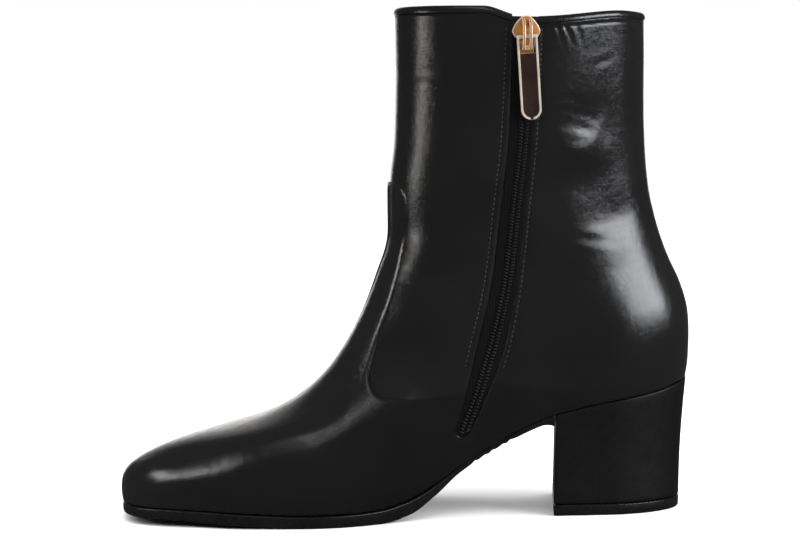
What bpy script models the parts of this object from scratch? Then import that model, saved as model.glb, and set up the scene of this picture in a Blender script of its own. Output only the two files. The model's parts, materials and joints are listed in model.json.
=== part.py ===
"""Ankle boot for the right foot, with a covered block heel and a zip on the inner side.

The toe points to -X, the inner side of the foot faces -Y and the floor is z = 0.
Sizes below are millimetres; the meshes are in metres.
"""

import math
from collections import namedtuple

import bmesh
import bpy
import numpy as np
from mathutils import Matrix, Vector
from mathutils.bvhtree import BVHTree

MM = 0.001
GAP = 0.3  # clearance between pieces that meet
MEDIAL, LATERAL = -1, 1

# Driving sizes of the last and the leather
WALL = 2.0  # leather and lining together
VAMP_LEATHER = 0.9  # the vamp lapped over the shaft
TOE_SWING = 5.0  # how far the toe leans to the inner side
ARCH_CUT = 2.5  # inner waist narrower than the outer one, each side
SAG_LEVELS = 10  # sections up to this level dip as the sole does
BALL_X = {MEDIAL: -40.0, LATERAL: -20.0}  # joints of the big and the little toe
TOE_X, WAIST_X, SEAT_X = -104.0, 16.0, 88.0
BREAST_X = 58.2  # inner front corner of the heel
BREAST_SLANT = 9.6  # the outer front corner stands this much further back
SLANT_RUN = 22.0  # the sole turns to that slant over this length
CENTRE_X, CENTRE_Y = 0.85, 0.4  # move the finished boot onto its origin

# Mesh density
SIDE_STEPS = 34  # points along each side of a section

# Sections of the upper, from the feather line at the sole to the collar.
# front and back are the section's two ends in the side view; nose and tail are the lengths
# over which its ends round off; square is the power of that rounding, 2 for an ellipse;
# toe, ball, waist and seat are half widths at those four places along the foot; ridge is how
# far the section's front end leans to the inner side, where the foot is highest.
Section = namedtuple(
    "Section", "front_x front_z back_x back_z nose tail square toe ball waist seat ridge"
)
SECTIONS = [
    Section(-120.2, 7.6, 119.2, 56.0, 29, 38, 2.6, 25.6, 40.2, 28.5, 26.5, 0),
    Section(-121.0, 12.0, 119.9, 59.8, 28, 38, 2.5, 26.8, 41.2, 30.0, 28.4, 0),
    Section(-120.6, 17.0, 120.3, 63.8, 28, 38, 2.4, 27.0, 41.2, 31.2, 30.2, 0),
    Section(-117.6, 21.8, 120.4, 68.0, 36, 38, 2.2, 27.0, 41.3, 32.0, 31.4, 1),
    Section(-111.2, 26.2, 120.5, 73.0, 56, 38, 2.0, 27.0, 41.0, 32.4, 32.0, 2.5),
    Section(-98.4, 30.9, 120.4, 78.5, 66, 38, 2.0, 27.0, 40.6, 32.6, 32.3, 4),
    Section(-80.4, 34.8, 119.9, 84.5, 66, 38, 2.0, 27.0, 40.2, 32.6, 32.2, 5),
    Section(-62.9, 39.3, 118.4, 91.0, 64, 38, 2.0, 27.0, 39.8, 32.4, 31.9, 5),
    Section(-45.4, 48.7, 115.9, 98.0, 62, 39, 2.0, 27.0, 39.0, 32.0, 31.4, 4),
    Section(-29.9, 64.4, 112.0, 106.0, 58, 40, 2.0, 27.0, 37.5, 31.6, 30.8, 3),
    Section(-20.8, 81.5, 108.4, 115.0, 54, 42, 2.0, 27.0, 35.4, 31.3, 30.2, 2),
    Section(-13.7, 99.6, 105.1, 126.0, 52, 44, 2.0, 27.0, 33.4, 31.2, 29.9, 1),
    Section(-8.4, 118.0, 102.3, 138.0, 50, 46, 2.05, 27.0, 32.0, 31.4, 30.1, 0),
    Section(-8.5, 139.0, 100.8, 152.0, 50, 48, 2.1, 27.0, 32.2, 32.0, 31.0, 0),
    Section(-6.6, 158.0, 100.1, 168.0, 50, 48, 2.1, 27.0, 33.0, 33.0, 32.2, 0),
    Section(-6.1, 184.0, 100.0, 188.0, 50, 48, 2.1, 27.0, 33.9, 34.2, 33.5, 0),
    Section(-6.3, 209.7, 99.7, 208.0, 50, 48, 2.1, 27.0, 34.4, 34.8, 34.4, 0),
]

# The sole in the side view: feather is the seam with the upper, tread the underside,
# and reach how far the sole's edge stands out from the feather line.
SoleStation = namedtuple("SoleStation", "x feather tread reach")
SOLE_LINE = [
    SoleStation(-120.2, 7.6, 3.2, 2.0),
    SoleStation(-104.0, 7.4, 2.9, 2.2),
    SoleStation(-85.0, 6.8, 1.8, 2.2),
    SoleStation(-66.0, 5.9, 0.9, 2.2),
    SoleStation(-48.0, 5.2, 0.0, 2.1),
    SoleStation(-26.0, 5.4, 0.0, 2.0),
    SoleStation(-16.0, 6.0, 0.2, 1.9),
    SoleStation(-4.0, 8.8, 2.6, 1.7),
    SoleStation(8.0, 14.8, 10.3, 1.0),
    SoleStation(18.0, 21.8, 19.0, 0.2),
    SoleStation(32.0, 30.6, 27.8, -0.2),
    SoleStation(46.0, 38.0, 35.2, -0.3),
    SoleStation(57.0, 42.4, 39.5, -0.4),
    SoleStation(88.0, 49.2, 46.6, 0.0),
    SoleStation(104.0, 52.2, 49.6, 0.0),
    SoleStation(119.2, 56.0, 53.4, 0.0),
]
SOLE_UNDERCUT = 0.8  # the sole's edge leans in towards the tread
RIB_START, RIB_PITCH, RIB_COUNT, RIB_DEEP = 22.4, 3.8, 5, 0.7  # cross ribs under the waist
INSOLE_THICK = 2.5

# The heel: a covered block over a rubber top piece
TOP_PIECE = 4.6
HEEL_TAPER = {"back": 2.8, "side": 0.6}  # how far the bottom is drawn in
HEEL_WAIST = 0.8  # hollow of the heel's back at half height
HEEL_FORWARD = 0.8  # the heel's front face leans this much to the toe at the floor
HEEL_STEPS = 14  # points along each side of the heel's outline
HEEL_BOTTOM_BEVEL = 0.6

# The seam where the vamp laps over the shaft, in the side view, from the front edge
# of the shaft down the instep and back to the heel.
VAMP_SEAM = [
    (-14.0, 140.0), (-6.5, 138.2), (-3.4, 132.5), (-2.6, 126.0), (-4.2, 114.5), (-9.6, 92.5),
    (-16.4, 74.0), (-20.4, 60.0), (-19.2, 54.6), (-14.0, 51.6), (2.0, 51.0),
    (18.0, 53.2), (38.0, 56.0), (54.0, 54.0), (66.0, 50.6), (77.0, 45.0),
]
VAMP_LEVELS = 14  # sections that the vamp can reach
VAMP_EDGE_LIFT = 0.15  # its lower edge stands clear of the sole, as a share of a section's rise

# The zip: its line on the inner side, from the bottom end to the collar
ZipStation = namedtuple("ZipStation", "z x half_slot")
ZIP_LINE = [
    ZipStation(37.6, 18.4, 3.2),
    ZipStation(54.4, 24.6, 4.3),
    ZipStation(73.0, 30.2, 5.4),
    ZipStation(99.0, 35.6, 5.0),
    ZipStation(130.0, 39.0, 4.8),
    ZipStation(160.0, 41.8, 4.7),
    ZipStation(204.0, 43.2, 4.7),
    ZipStation(216.0, 43.3, 4.7),
]
COLLAR_DIP = 4.0  # how far the collar drops at the zip
COLLAR_DIP_REACH = {MEDIAL: 17.0, LATERAL: 46.0}  # from the zip to the level collar: in front, behind
TAPE_DEPTH, TAPE_THICK, TAPE_CLEAR = 1.0, 0.9, 0.5
COIL_HALF, COIL_RISE = 2.7, 1.1
ZIP_STATIONS = 19

# The binding folded over the collar
BINDING_HIGH, BINDING_WIDE = 2.3, 3.0
BINDING_STEPS = 22

# The slider and its pull tab, in the slider's own frame: u across, v up, n outwards
SLIDER_Z = 200.0
SLIDER_LIFT = 0.75  # slider's underside above the leather
SLIDER_PLATE = 1.4
SLIDER_OUTLINE = [  # v and half width
    (7.6, 1.3), (6.6, 3.3), (3.4, 5.8), (1.2, 5.6), (-1.6, 4.5), (-7.2, 4.1), (-7.8, 3.4)
]
BRIDGE_HALF = 1.9
BRIDGE_TOP, BRIDGE_BOTTOM, BRIDGE_HIGH, BRIDGE_THICK = 6.2, -6.3, 3.5, 1.1
BRIDGE_EYE = (-4.6, 3.2)  # the opening that the tab's cross bar turns in
BRIDGE_SLOT_HALF = 0.65
PIVOT_V = -0.8
PIVOT_N = SLIDER_PLATE + (BRIDGE_HIGH - BRIDGE_THICK) / 2
TAB_LONG, TAB_HALF, TAB_THICK = 34.5, 4.3, 1.3
TAB_BAR = 0.65  # half the cross bar's height
TAB_WINDOW = (2.75, 6.8)  # half width, and depth below the pivot
TAB_PANEL_INSET, TAB_PANEL_DEPTH = 1.1, 0.35
TAB_TILT = math.radians(4.5)  # the tab hangs a little askew on the slider
TAB_LEAN = math.radians(2.5)  # and its free end leans to the boot


def smooth_curve(known_x, known_y, x):
    """Values at x of a curve through the known points that never overshoots them."""
    known_x = np.asarray(known_x, float)
    known_y = np.asarray(known_y, float)
    x = np.clip(np.asarray(x, float), known_x[0], known_x[-1])
    step = np.diff(known_x)
    rise = np.diff(known_y) / step
    slope = np.zeros_like(known_y)
    turning = rise[:-1] * rise[1:] > 0
    before, after = step[:-1], step[1:]
    heavy, light = 2 * after + before, after + 2 * before
    with np.errstate(divide="ignore", invalid="ignore"):
        mean = (heavy + light) / (heavy / rise[:-1] + light / rise[1:])
    slope[1:-1] = np.where(turning, mean, 0.0)
    slope[0], slope[-1] = rise[0], rise[-1]
    i = np.clip(np.searchsorted(known_x, x, side="right") - 1, 0, len(step) - 1)
    u = (x - known_x[i]) / step[i]
    return (
        known_y[i] * (1 + 2 * u) * (1 - u) ** 2
        + slope[i] * step[i] * u * (1 - u) ** 2
        + known_y[i + 1] * u**2 * (3 - 2 * u)
        - slope[i + 1] * step[i] * u**2 * (1 - u)
    )


def along(table, key, value, x):
    """One column of a table of stations, read at x of another column."""
    return smooth_curve([getattr(r, key) for r in table], [getattr(r, value) for r in table], x)


def feather_z(x):
    return along(SOLE_LINE, "x", "feather", x)


def tread_z(x):
    return along(SOLE_LINE, "x", "tread", x)


def section_at(level):
    """The section at a level from 0, the feather line, to the last row, the collar."""
    rows = np.arange(len(SECTIONS))
    columns = zip(*SECTIONS)
    return Section(*(float(smooth_curve(rows, column, level)) for column in columns))


def rounded_end(distance, length, power):
    """Share of the full width at a distance from a section's end."""
    left = 1 - np.clip(distance / length, 0, 1)
    return (1 - left**power) ** (1 / power)


def half_width(section, side, x, level):
    """Half width of a section on one side of the foot, before its ends round off."""
    places = (TOE_X, BALL_X[side], WAIST_X, SEAT_X)
    lowness = max(0.0, 1 - level / 9)
    waist = section.waist + side * ARCH_CUT * lowness
    return smooth_curve(places, (section.toe, section.ball, waist, section.seat), x)


def centre_line(x):
    """The foot's middle line bends to the inner side in front of the ball."""
    return -TOE_SWING * np.clip((BALL_X[LATERAL] - x) / (BALL_X[LATERAL] - TOE_X), 0, 1) ** 1.5


def section_points(level, side, share):
    """Points of one side of a section; share runs from 0 at its front end to 1 at its back."""
    section = section_at(level)
    length = section.back_x - section.front_x
    x = section.front_x + share * length
    nose = rounded_end(x - section.front_x, section.nose, section.square)
    ends = nose * rounded_end(section.back_x - x, section.tail, 2.0)
    middle = centre_line(x) - section.ridge * (1 - nose)
    y = middle + side * ends * half_width(section, side, x, level)
    sole = SOLE_LINE[0].x + share * (SOLE_LINE[-1].x - SOLE_LINE[0].x)
    chord = SOLE_LINE[0].feather + share * (SOLE_LINE[-1].feather - SOLE_LINE[0].feather)
    sag = max(0.0, 1 - level / SAG_LEVELS) ** 0.8
    z = section.front_z + share * (section.back_z - section.front_z) + sag * (feather_z(sole) - chord)
    return np.stack([x, y, z], axis=-1)


def side_shares():
    """Steps from the front end of a section to its back end, close together at both."""
    return (1 - np.cos(np.linspace(0, math.pi, SIDE_STEPS + 1))) / 2


def section_loop(level):
    """A whole section: front, inner side, back, outer side."""
    share = side_shares()
    inner = section_points(level, MEDIAL, share)
    outer = section_points(level, LATERAL, share[1:-1])
    return np.concatenate([inner, outer[::-1]])


def upper_grid(levels):
    return np.array([section_loop(level) for level in range(levels)])


def grid_normals(grid):
    """Outward directions at the points of a stack of sections."""
    around = np.roll(grid, -1, axis=1) - np.roll(grid, 1, axis=1)
    upwards = np.gradient(grid, axis=0)
    normals = np.cross(around, upwards)
    return normals / np.linalg.norm(normals, axis=2, keepdims=True)


def new_object(name, mesh_data, material):
    """An object from a bmesh in millimetres, hung on the boot's origin."""
    mesh = bpy.data.meshes.new(name)
    bmesh.ops.scale(mesh_data, vec=(MM, MM, MM), verts=mesh_data.verts)
    mesh_data.to_mesh(mesh)
    mesh_data.free()
    mesh.materials.append(material)
    mesh.shade_smooth()
    mesh.set_sharp_from_angle(angle=math.radians(35))
    obj = bpy.data.objects.new(name, mesh)
    bpy.context.scene.collection.objects.link(obj)
    obj.parent = ORIGIN
    return obj


def new_material(name, colour, roughness, metallic=0.0):
    material = bpy.data.materials.new(name)
    material.use_nodes = True
    shader = material.node_tree.nodes["Principled BSDF"]
    shader.inputs["Base Color"].default_value = (*colour, 1.0)
    shader.inputs["Roughness"].default_value = roughness
    shader.inputs["Metallic"].default_value = metallic
    return material


def tube_mesh(grid):
    """Triangles over a stack of closed loops, open at both ends; skins over a form fold as it does."""
    mesh_data = bmesh.new()
    rows = [[mesh_data.verts.new(point) for point in loop] for loop in grid]
    for low, high in zip(rows, rows[1:]):
        for i in range(len(low)):
            j = (i + 1) % len(low)
            mesh_data.faces.new((low[i], low[j], high[j]))
            mesh_data.faces.new((low[i], high[j], high[i]))
    bmesh.ops.recalc_face_normals(mesh_data, faces=mesh_data.faces)
    return mesh_data


def loft_mesh(sections):
    """A closed solid over sections of equal length, with flat ends."""
    mesh_data = tube_mesh(sections)
    mesh_data.verts.ensure_lookup_table()
    count = len(sections[0])
    mesh_data.faces.new(mesh_data.verts[:count])
    mesh_data.faces.new(mesh_data.verts[-count:])
    bmesh.ops.remove_doubles(mesh_data, verts=mesh_data.verts, dist=1e-5)
    bmesh.ops.recalc_face_normals(mesh_data, faces=mesh_data.faces)
    return mesh_data


def prism_mesh(outline, low, high, axis):
    """A closed outline of two coordinates, run from low to high along the third axis."""
    mesh_data = bmesh.new()
    corners = []
    for first, second in outline:
        place = [first, second]
        place.insert(axis, low)
        corners.append(mesh_data.verts.new(place))
    face = mesh_data.faces.new(corners)
    run = bmesh.ops.extrude_face_region(mesh_data, geom=[face])
    shift = Vector([high - low if i == axis else 0 for i in range(3)])
    moved = [v for v in run["geom"] if isinstance(v, bmesh.types.BMVert)]
    bmesh.ops.translate(mesh_data, vec=shift, verts=moved)
    bmesh.ops.recalc_face_normals(mesh_data, faces=mesh_data.faces)
    return mesh_data


def helper(name, mesh_data):
    """A cutter: seen as wire and left out of the object."""
    obj = new_object(name, mesh_data, MATERIALS["leather"])
    obj.hide_render = True
    obj.display_type = "WIRE"
    return obj


def add_boolean(obj, operation, other):
    modifier = obj.modifiers.new(other.name, "BOOLEAN")
    modifier.operation = operation
    modifier.object = other


def add_solidify(obj, thickness, outwards):
    modifier = obj.modifiers.new("wall", "SOLIDIFY")
    modifier.thickness = thickness * MM
    modifier.offset = 1.0 if outwards else -1.0
    modifier.use_even_offset = False


def zip_x(z):
    return along(ZIP_LINE, "z", "x", z)


def zip_half_slot(z):
    return along(ZIP_LINE, "z", "half_slot", z)


def zip_across(z):
    """Unit direction across the zip in the side view, towards the heel."""
    run = np.array([float(zip_x(z + 0.5) - zip_x(z - 0.5)), 1.0])
    run /= np.linalg.norm(run)
    return np.array([run[1], -run[0]])


def collar_dip(x):
    """How far the collar drops at x beside the zip."""
    away = x - float(zip_x(SLIDER_Z))
    reach = COLLAR_DIP_REACH[MEDIAL if away < 0 else LATERAL]
    return COLLAR_DIP * (1 - min(abs(away) / reach, 1) ** 2) ** 2


def collar_z(x):
    top = SECTIONS[-1]
    return top.front_z + (x - top.front_x) / (top.back_x - top.front_x) * (top.back_z - top.front_z)


def slot_outline(widen):
    """The slot for the zip in the side view: round at the bottom, flared at the collar."""
    low, high = ZIP_LINE[0].z, collar_z(float(zip_x(SLIDER_Z))) - COLLAR_DIP
    heights = np.linspace(low, high - 1.0, ZIP_STATIONS)
    sides = {MEDIAL: [], LATERAL: []}
    for z in heights:
        for side, places in sides.items():
            reach = side * (float(zip_half_slot(z)) + widen)
            places.append(np.array([float(zip_x(z)), z]) + reach * zip_across(z))
    middle = np.array([float(zip_x(low)), low])
    across, radius = zip_across(low), float(zip_half_slot(low)) + widen
    down = np.array([across[1], -across[0]])
    turn = np.linspace(0, math.pi, 7)[1:-1]
    bottom = [middle + radius * (np.cos(a) * across + np.sin(a) * down) for a in turn]
    flare = {}
    for side in sides:
        start = float(sides[side][-1][0])
        end = float(zip_x(SLIDER_Z)) + side * COLLAR_DIP_REACH[side]
        flare[side] = [np.array([x, collar_z(x) - collar_dip(x)]) for x in np.linspace(start, end, 6)]
        flare[side].append(np.array([end, collar_z(end) + 8.0]))
    front = sides[MEDIAL] + flare[MEDIAL]
    back = sides[LATERAL] + flare[LATERAL]
    return front + back[::-1] + bottom


def surface_tree(grid):
    """The upper's outer faces, for finding places on them."""
    mesh_data = tube_mesh(grid)
    tree = BVHTree.FromBMesh(mesh_data)
    mesh_data.free()
    return tree


def inner_side_point(tree, x, z):
    """The place and outward direction on the boot's inner side at x, z of the side view."""
    place, normal, _, _ = tree.ray_cast(Vector((x, -100.0, z)), Vector((0, 1, 0)))
    return np.array(place), np.array(normal)


def make_upper(grid):
    upper = new_object("upper", tube_mesh(grid), MATERIALS["leather"])
    add_solidify(upper, WALL, outwards=False)
    slot = helper("cutter_zip_slot", prism_mesh(slot_outline(0.0), -70.0, -9.0, axis=1))
    add_boolean(upper, "DIFFERENCE", slot)


def make_vamp(grid):
    """The vamp: a skin over the upper, cut out along its seam and around the zip."""
    normals = grid_normals(grid)
    skin = (grid + GAP * normals)[:VAMP_LEVELS]
    skin[0] += VAMP_EDGE_LIFT * (skin[1] - skin[0])
    vamp = new_object("vamp", tube_mesh(skin), MATERIALS["leather"])
    add_solidify(vamp, VAMP_LEATHER, outwards=True)
    seam = np.array(VAMP_SEAM)
    run = np.arange(len(seam))
    fine = np.linspace(0, run[-1], 3 * run[-1] + 1)
    line = np.stack([smooth_curve(run, column, fine) for column in seam.T], axis=1)
    outline = line.tolist() + [(75.0, -10.0), (-140.0, -10.0), (-140.0, 141.0)]
    add_boolean(vamp, "INTERSECT", helper("cutter_vamp_seam", prism_mesh(outline, -70.0, 70.0, axis=1)))
    slot = helper("cutter_vamp_slot", prism_mesh(slot_outline(1.2), -70.0, -9.0, axis=1))
    add_boolean(vamp, "DIFFERENCE", slot)


def footprint(x, reach):
    """Inner and outer y of the feather line at x, let out by reach all round."""
    section = SECTIONS[0]
    front, back = section.front_x - reach, section.back_x + reach
    x = np.asarray(x, float)
    ends = rounded_end(x - front, section.nose + reach, section.square)
    ends = ends * rounded_end(back - x, section.tail + reach, 2.0)
    sides = []
    for side in (MEDIAL, LATERAL):
        sides.append(centre_line(x) + side * ends * (half_width(section, side, x, 0) + reach))
    return sides


def plank_sections(stations, thick_top, thick_low, reach_top, reach_low, skew):
    """Cross sections of a plank that follows the footprint: top edge, bulge, bottom edge.

    thick_top and thick_low give its two heights at any x; skew moves the outer side back.
    """
    sections = []
    for x, wide, narrow, shift in zip(stations, reach_top, reach_low, skew):
        outer_x = x + shift
        inner = [footprint(x, reach)[0] for reach in (wide, narrow)]
        outer = [footprint(outer_x, reach)[1] for reach in (wide, narrow)]
        bulge = 0.25 * (wide > narrow)
        inner_top, inner_low = thick_top(x), thick_low(x)
        outer_top, outer_low = thick_top(outer_x), thick_low(outer_x)
        sections.append([
            (x, inner[0], inner_top), (x, inner[0] - bulge, (inner_top + inner_low) / 2),
            (x, inner[1], inner_low), (outer_x, outer[1], outer_low),
            (outer_x, outer[0] + bulge, (outer_top + outer_low) / 2), (outer_x, outer[0], outer_top),
        ])
    return np.array(sections, float)


def foot_stations(start, end):
    """Places along the foot: those of the upper's lowest section between two ends."""
    section = SECTIONS[0]
    x = section.front_x + side_shares() * (section.back_x - section.front_x)
    kept = x[(x > start + 0.2) & (x < end - 0.2)]
    return np.concatenate([[start], kept, [end]])


def with_ribs(stations):
    """Stations with four to each rib of the waist, and how deep the hollows are there."""
    ribs = RIB_START + RIB_PITCH * np.arange(4 * RIB_COUNT + 1) / 4
    clear = np.abs(stations[:, None] - ribs).min(axis=1) > 0.3
    stations = np.sort(np.concatenate([stations[clear], ribs]))
    phase = np.clip((stations - RIB_START) / RIB_PITCH, 0, RIB_COUNT)
    return stations, RIB_DEEP * (1 - np.cos(2 * math.pi * phase)) / 2


def make_outsole():
    tip = SECTIONS[0].front_x - SOLE_LINE[0].reach + SOLE_UNDERCUT + 0.05
    stations, hollow = with_ribs(foot_stations(tip, BREAST_X - GAP))
    reach = along(SOLE_LINE, "x", "reach", stations)
    skew = BREAST_SLANT * np.clip(1 - (BREAST_X - stations) / SLANT_RUN, 0, 1)
    sections = plank_sections(
        stations, lambda x: feather_z(x) - GAP, tread_z, reach, reach - SOLE_UNDERCUT, skew
    )
    sections[:, 2:4, 2] += hollow[:, None]
    new_object("outsole", loft_mesh(sections), MATERIALS["rubber"])


def make_insole():
    inset = -(WALL + 0.8)
    start, end = SECTIONS[0].front_x - inset + 0.2, SECTIONS[0].back_x + inset - 0.2
    stations = foot_stations(start, end)
    reach = np.full(len(stations), inset)
    sections = plank_sections(
        stations, lambda x: feather_z(x) + INSOLE_THICK, feather_z, reach, reach, 0 * reach
    )
    new_object("insole", loft_mesh(sections), MATERIALS["insole"])


def heel_loop(level, z_of):
    """The heel's D at a level from 0, the floor, to 1, the seat: inner corner, back, outer corner."""
    hollow = HEEL_WAIST * math.sin(math.pi * level)
    drawn_back = HEEL_TAPER["back"] * (1 - level) + hollow
    narrow = 1 - (HEEL_TAPER["side"] * (1 - level) + 0.5 * hollow) / SECTIONS[0].seat
    seat_back = SECTIONS[0].back_x + 0.3
    share = np.sin(np.linspace(0, math.pi / 2, HEEL_STEPS))
    sides = []
    for side, corner in enumerate((BREAST_X, BREAST_X + BREAST_SLANT)):
        seat_x = corner + (seat_back - corner) * share
        y = footprint(seat_x, 0.3)[side] * narrow
        x = seat_x - drawn_back * share - HEEL_FORWARD * (1 - level) * (1 - share)
        sides.append(np.stack([x, y, z_of(seat_x)], axis=1))
    return np.concatenate([sides[0], sides[1][-2::-1]])


def d_solid(loops):
    """A solid over D-shaped loops, its two ends ruled across from side to side."""
    mesh_data = bmesh.new()
    rows = [[mesh_data.verts.new(point) for point in loop] for loop in loops]
    count = len(rows[0])
    for low, high in zip(rows, rows[1:]):
        for i in range(count):
            j = (i + 1) % count
            mesh_data.faces.new((low[i], low[j], high[j], high[i]))
    for row in (rows[0], rows[-1]):
        for i in range(count // 2):
            corners = [row[i], row[i + 1], row[count - 2 - i], row[count - 1 - i]]
            mesh_data.faces.new(list(dict.fromkeys(corners)))
    bmesh.ops.recalc_face_normals(mesh_data, faces=mesh_data.faces)
    return mesh_data


def make_heel():
    seat = float(feather_z(BREAST_X))
    levels = np.linspace(TOP_PIECE / seat, 1, 6)

    def height(level):
        share = (level - levels[0]) / (1 - levels[0])
        low = TOP_PIECE + GAP
        return lambda x: low + share * (feather_z(x) - GAP - low)

    loops = [heel_loop(level, height(level)) for level in levels]
    new_object("heel_block", d_solid(loops), MATERIALS["heel_leather"])
    steps = ((TOP_PIECE, 0.0), (0.9, 0.0), (0.0, HEEL_BOTTOM_BEVEL))
    loops = []
    for z, inset in steps:
        loop = heel_loop(0.0, lambda x, z=z: np.full_like(x, z))
        middle = np.array([(BREAST_X + SECTIONS[0].back_x) / 2, 0.0])
        shrink = 1 - inset / SECTIONS[0].seat
        loop[:, :2] = middle + (loop[:, :2] - middle) * shrink
        loops.append(loop)
    new_object("heel_top_piece", d_solid(loops), MATERIALS["rubber"])


def make_binding():
    """The binding: a folded strip along the collar, from one side of the zip round to the other."""
    top = section_at(len(SECTIONS) - 1)
    start = float(zip_x(SLIDER_Z)) - zip_half_slot(SLIDER_Z) - 0.8
    end = float(zip_x(SLIDER_Z)) + zip_half_slot(SLIDER_Z) + 0.8
    length = top.back_x - top.front_x
    turn = np.linspace(0, math.pi, BINDING_STEPS)
    share = (1 - np.cos(turn)) / 2
    low_share, high_share = (start - top.front_x) / length, (end - top.front_x) / length
    to_front = np.concatenate([np.linspace(low_share, 0.14, 9), share[share < 0.12][::-1]])
    to_back = np.concatenate([np.linspace(high_share, 0.86, 9), share[share > 0.88]])
    level = len(SECTIONS) - 1
    path = np.concatenate([
        section_points(level, MEDIAL, to_front),
        section_points(level, LATERAL, share[1:-1]),
        section_points(level, MEDIAL, to_back[::-1]),
    ])
    inner_half = path[:, 1] < 0
    drop = np.array([collar_dip(x) if low else 0.0 for x, low in zip(path[:, 0], inner_half)])
    path[:, 2] += GAP - drop
    run = np.gradient(path, axis=0)
    outwards = np.stack([-run[:, 1], run[:, 0], np.zeros(len(run))], axis=1)
    outwards /= np.linalg.norm(outwards, axis=1, keepdims=True)
    middle = path - outwards * WALL / 2
    half = BINDING_WIDE / 2
    profile = [(-half, 0), (half, 0), (half, 0.55), (0.55 * half, 1), (-0.55 * half, 1), (-half, 0.55)]
    sections = []
    for place, out in zip(middle, outwards):
        sections.append([place + out * w + np.array([0, 0, h * BINDING_HIGH]) for w, h in profile])
    new_object("collar_binding", loft_mesh(np.array(sections)), MATERIALS["leather"])


def zip_strip(tree, heights, half_of, low, high):
    """A strip that follows the zip's line on the boot, between two heights over the leather."""
    sections = []
    for z in heights:
        across = zip_across(z)
        rows = []
        for lift in (low, high):
            for share in (-1, 0, 1):
                x, height = np.array([float(zip_x(z)), z]) + share * half_of(z) * across
                place, normal = inner_side_point(tree, x, height)
                rows.append(place + lift * normal)
        sections.append(rows[:3] + rows[:2:-1])
    return np.array(sections)


def make_zip(tree):
    top = collar_z(float(zip_x(SLIDER_Z))) - COLLAR_DIP - 0.5
    heights = np.linspace(ZIP_LINE[0].z + 0.3, top, ZIP_STATIONS)
    low = -TAPE_DEPTH - TAPE_THICK
    tape = zip_strip(tree, heights, lambda z: float(zip_half_slot(z)) - TAPE_CLEAR, low, -TAPE_DEPTH)
    new_object("zip_tape", loft_mesh(tape), MATERIALS["zip_cloth"])
    low = -TAPE_DEPTH + GAP
    coil = zip_strip(tree, heights, lambda z: COIL_HALF, low, low + COIL_RISE)
    new_object("zip_coil", loft_mesh(coil), MATERIALS["zip_coil"])


def slider_frame(tree):
    """The slider's place on the boot: columns u across, v up the zip, n outwards."""
    place, normal = inner_side_point(tree, float(zip_x(SLIDER_Z)), SLIDER_Z)
    n = Vector(normal).normalized()
    v = (Vector((0, 0, 1)) - n * n.z).normalized()
    u = v.cross(n)
    frame = Matrix((u, v, n)).transposed().to_4x4()
    frame.translation = (Vector(place) + SLIDER_LIFT * n) * MM
    return frame


def box_mesh(u, v, n):
    mesh_data = bmesh.new()
    bmesh.ops.create_cube(mesh_data, size=1.0)
    for axis, (low, high) in enumerate((u, v, n)):
        for vert in mesh_data.verts:
            vert.co[axis] = high if vert.co[axis] > 0 else low
    return mesh_data


def make_slider(frame):
    right = [(half, v) for v, half in SLIDER_OUTLINE]
    outline = right + [(-half, v) for half, v in right[::-1]]
    slider = new_object("zip_slider", prism_mesh(outline, 0.0, SLIDER_PLATE, axis=2), MATERIALS["gold"])
    top = SLIDER_PLATE + BRIDGE_HIGH
    arch = [
        (BRIDGE_BOTTOM, SLIDER_PLATE - 0.5), (BRIDGE_TOP, SLIDER_PLATE - 0.5),
        (BRIDGE_TOP, SLIDER_PLATE + 0.5), (BRIDGE_EYE[1] - 0.6, top),
        (BRIDGE_EYE[0] - 0.3, top), (BRIDGE_BOTTOM, top - 0.9),
    ]
    bridge = helper("join_bridge", prism_mesh(arch, -BRIDGE_HALF, BRIDGE_HALF, axis=0))
    eye = helper("cutter_bridge_eye", box_mesh((-9, 9), BRIDGE_EYE, (SLIDER_PLATE, top - BRIDGE_THICK)))
    slot = (-BRIDGE_SLOT_HALF, BRIDGE_SLOT_HALF)
    run = (BRIDGE_EYE[0] + 0.6, BRIDGE_EYE[1] - 0.8)
    groove = helper("cutter_bridge_slot", box_mesh(slot, run, (SLIDER_PLATE, 9)))
    add_boolean(slider, "UNION", bridge)
    add_boolean(slider, "DIFFERENCE", eye)
    add_boolean(slider, "DIFFERENCE", groove)
    for obj in (slider, bridge, eye, groove):
        obj.matrix_local = frame


def round_end_outline(half, top, bottom, steps):
    """A strip of the given half width with a half round lower end."""
    turn = np.linspace(0, math.pi, steps)
    arc = [(half * math.cos(a), bottom + half - half * math.sin(a)) for a in turn]
    return [(-half, top), (half, top)] + arc


def make_tab(frame):
    """The pull tab, with its origin on the cross bar's axis."""
    half_thick = TAB_THICK / 2
    end = TAB_BAR - TAB_LONG
    body = prism_mesh(round_end_outline(TAB_HALF, TAB_BAR, end, 13), -half_thick, half_thick, axis=2)
    tab = new_object("zip_pull_tab", body, MATERIALS["gold"])
    half, depth = TAB_WINDOW
    window = helper("cutter_tab_window", box_mesh((-half, half), (-depth, -TAB_BAR), (-3, 3)))
    rim = TAB_PANEL_INSET
    recess = round_end_outline(TAB_HALF - rim, -depth - rim, end + rim, 13)
    panel = helper("cutter_tab_panel", prism_mesh(recess, half_thick - TAB_PANEL_DEPTH, 3.0, axis=2))
    add_boolean(tab, "DIFFERENCE", window)
    add_boolean(tab, "DIFFERENCE", panel)
    pivot = frame @ Matrix.Translation(Vector((0, PIVOT_V, PIVOT_N)) * MM)
    placed = pivot @ Matrix.Rotation(TAB_TILT, 4, "Z") @ Matrix.Rotation(TAB_LEAN, 4, "X")
    for obj in (tab, window, panel):
        obj.matrix_local = placed


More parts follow.
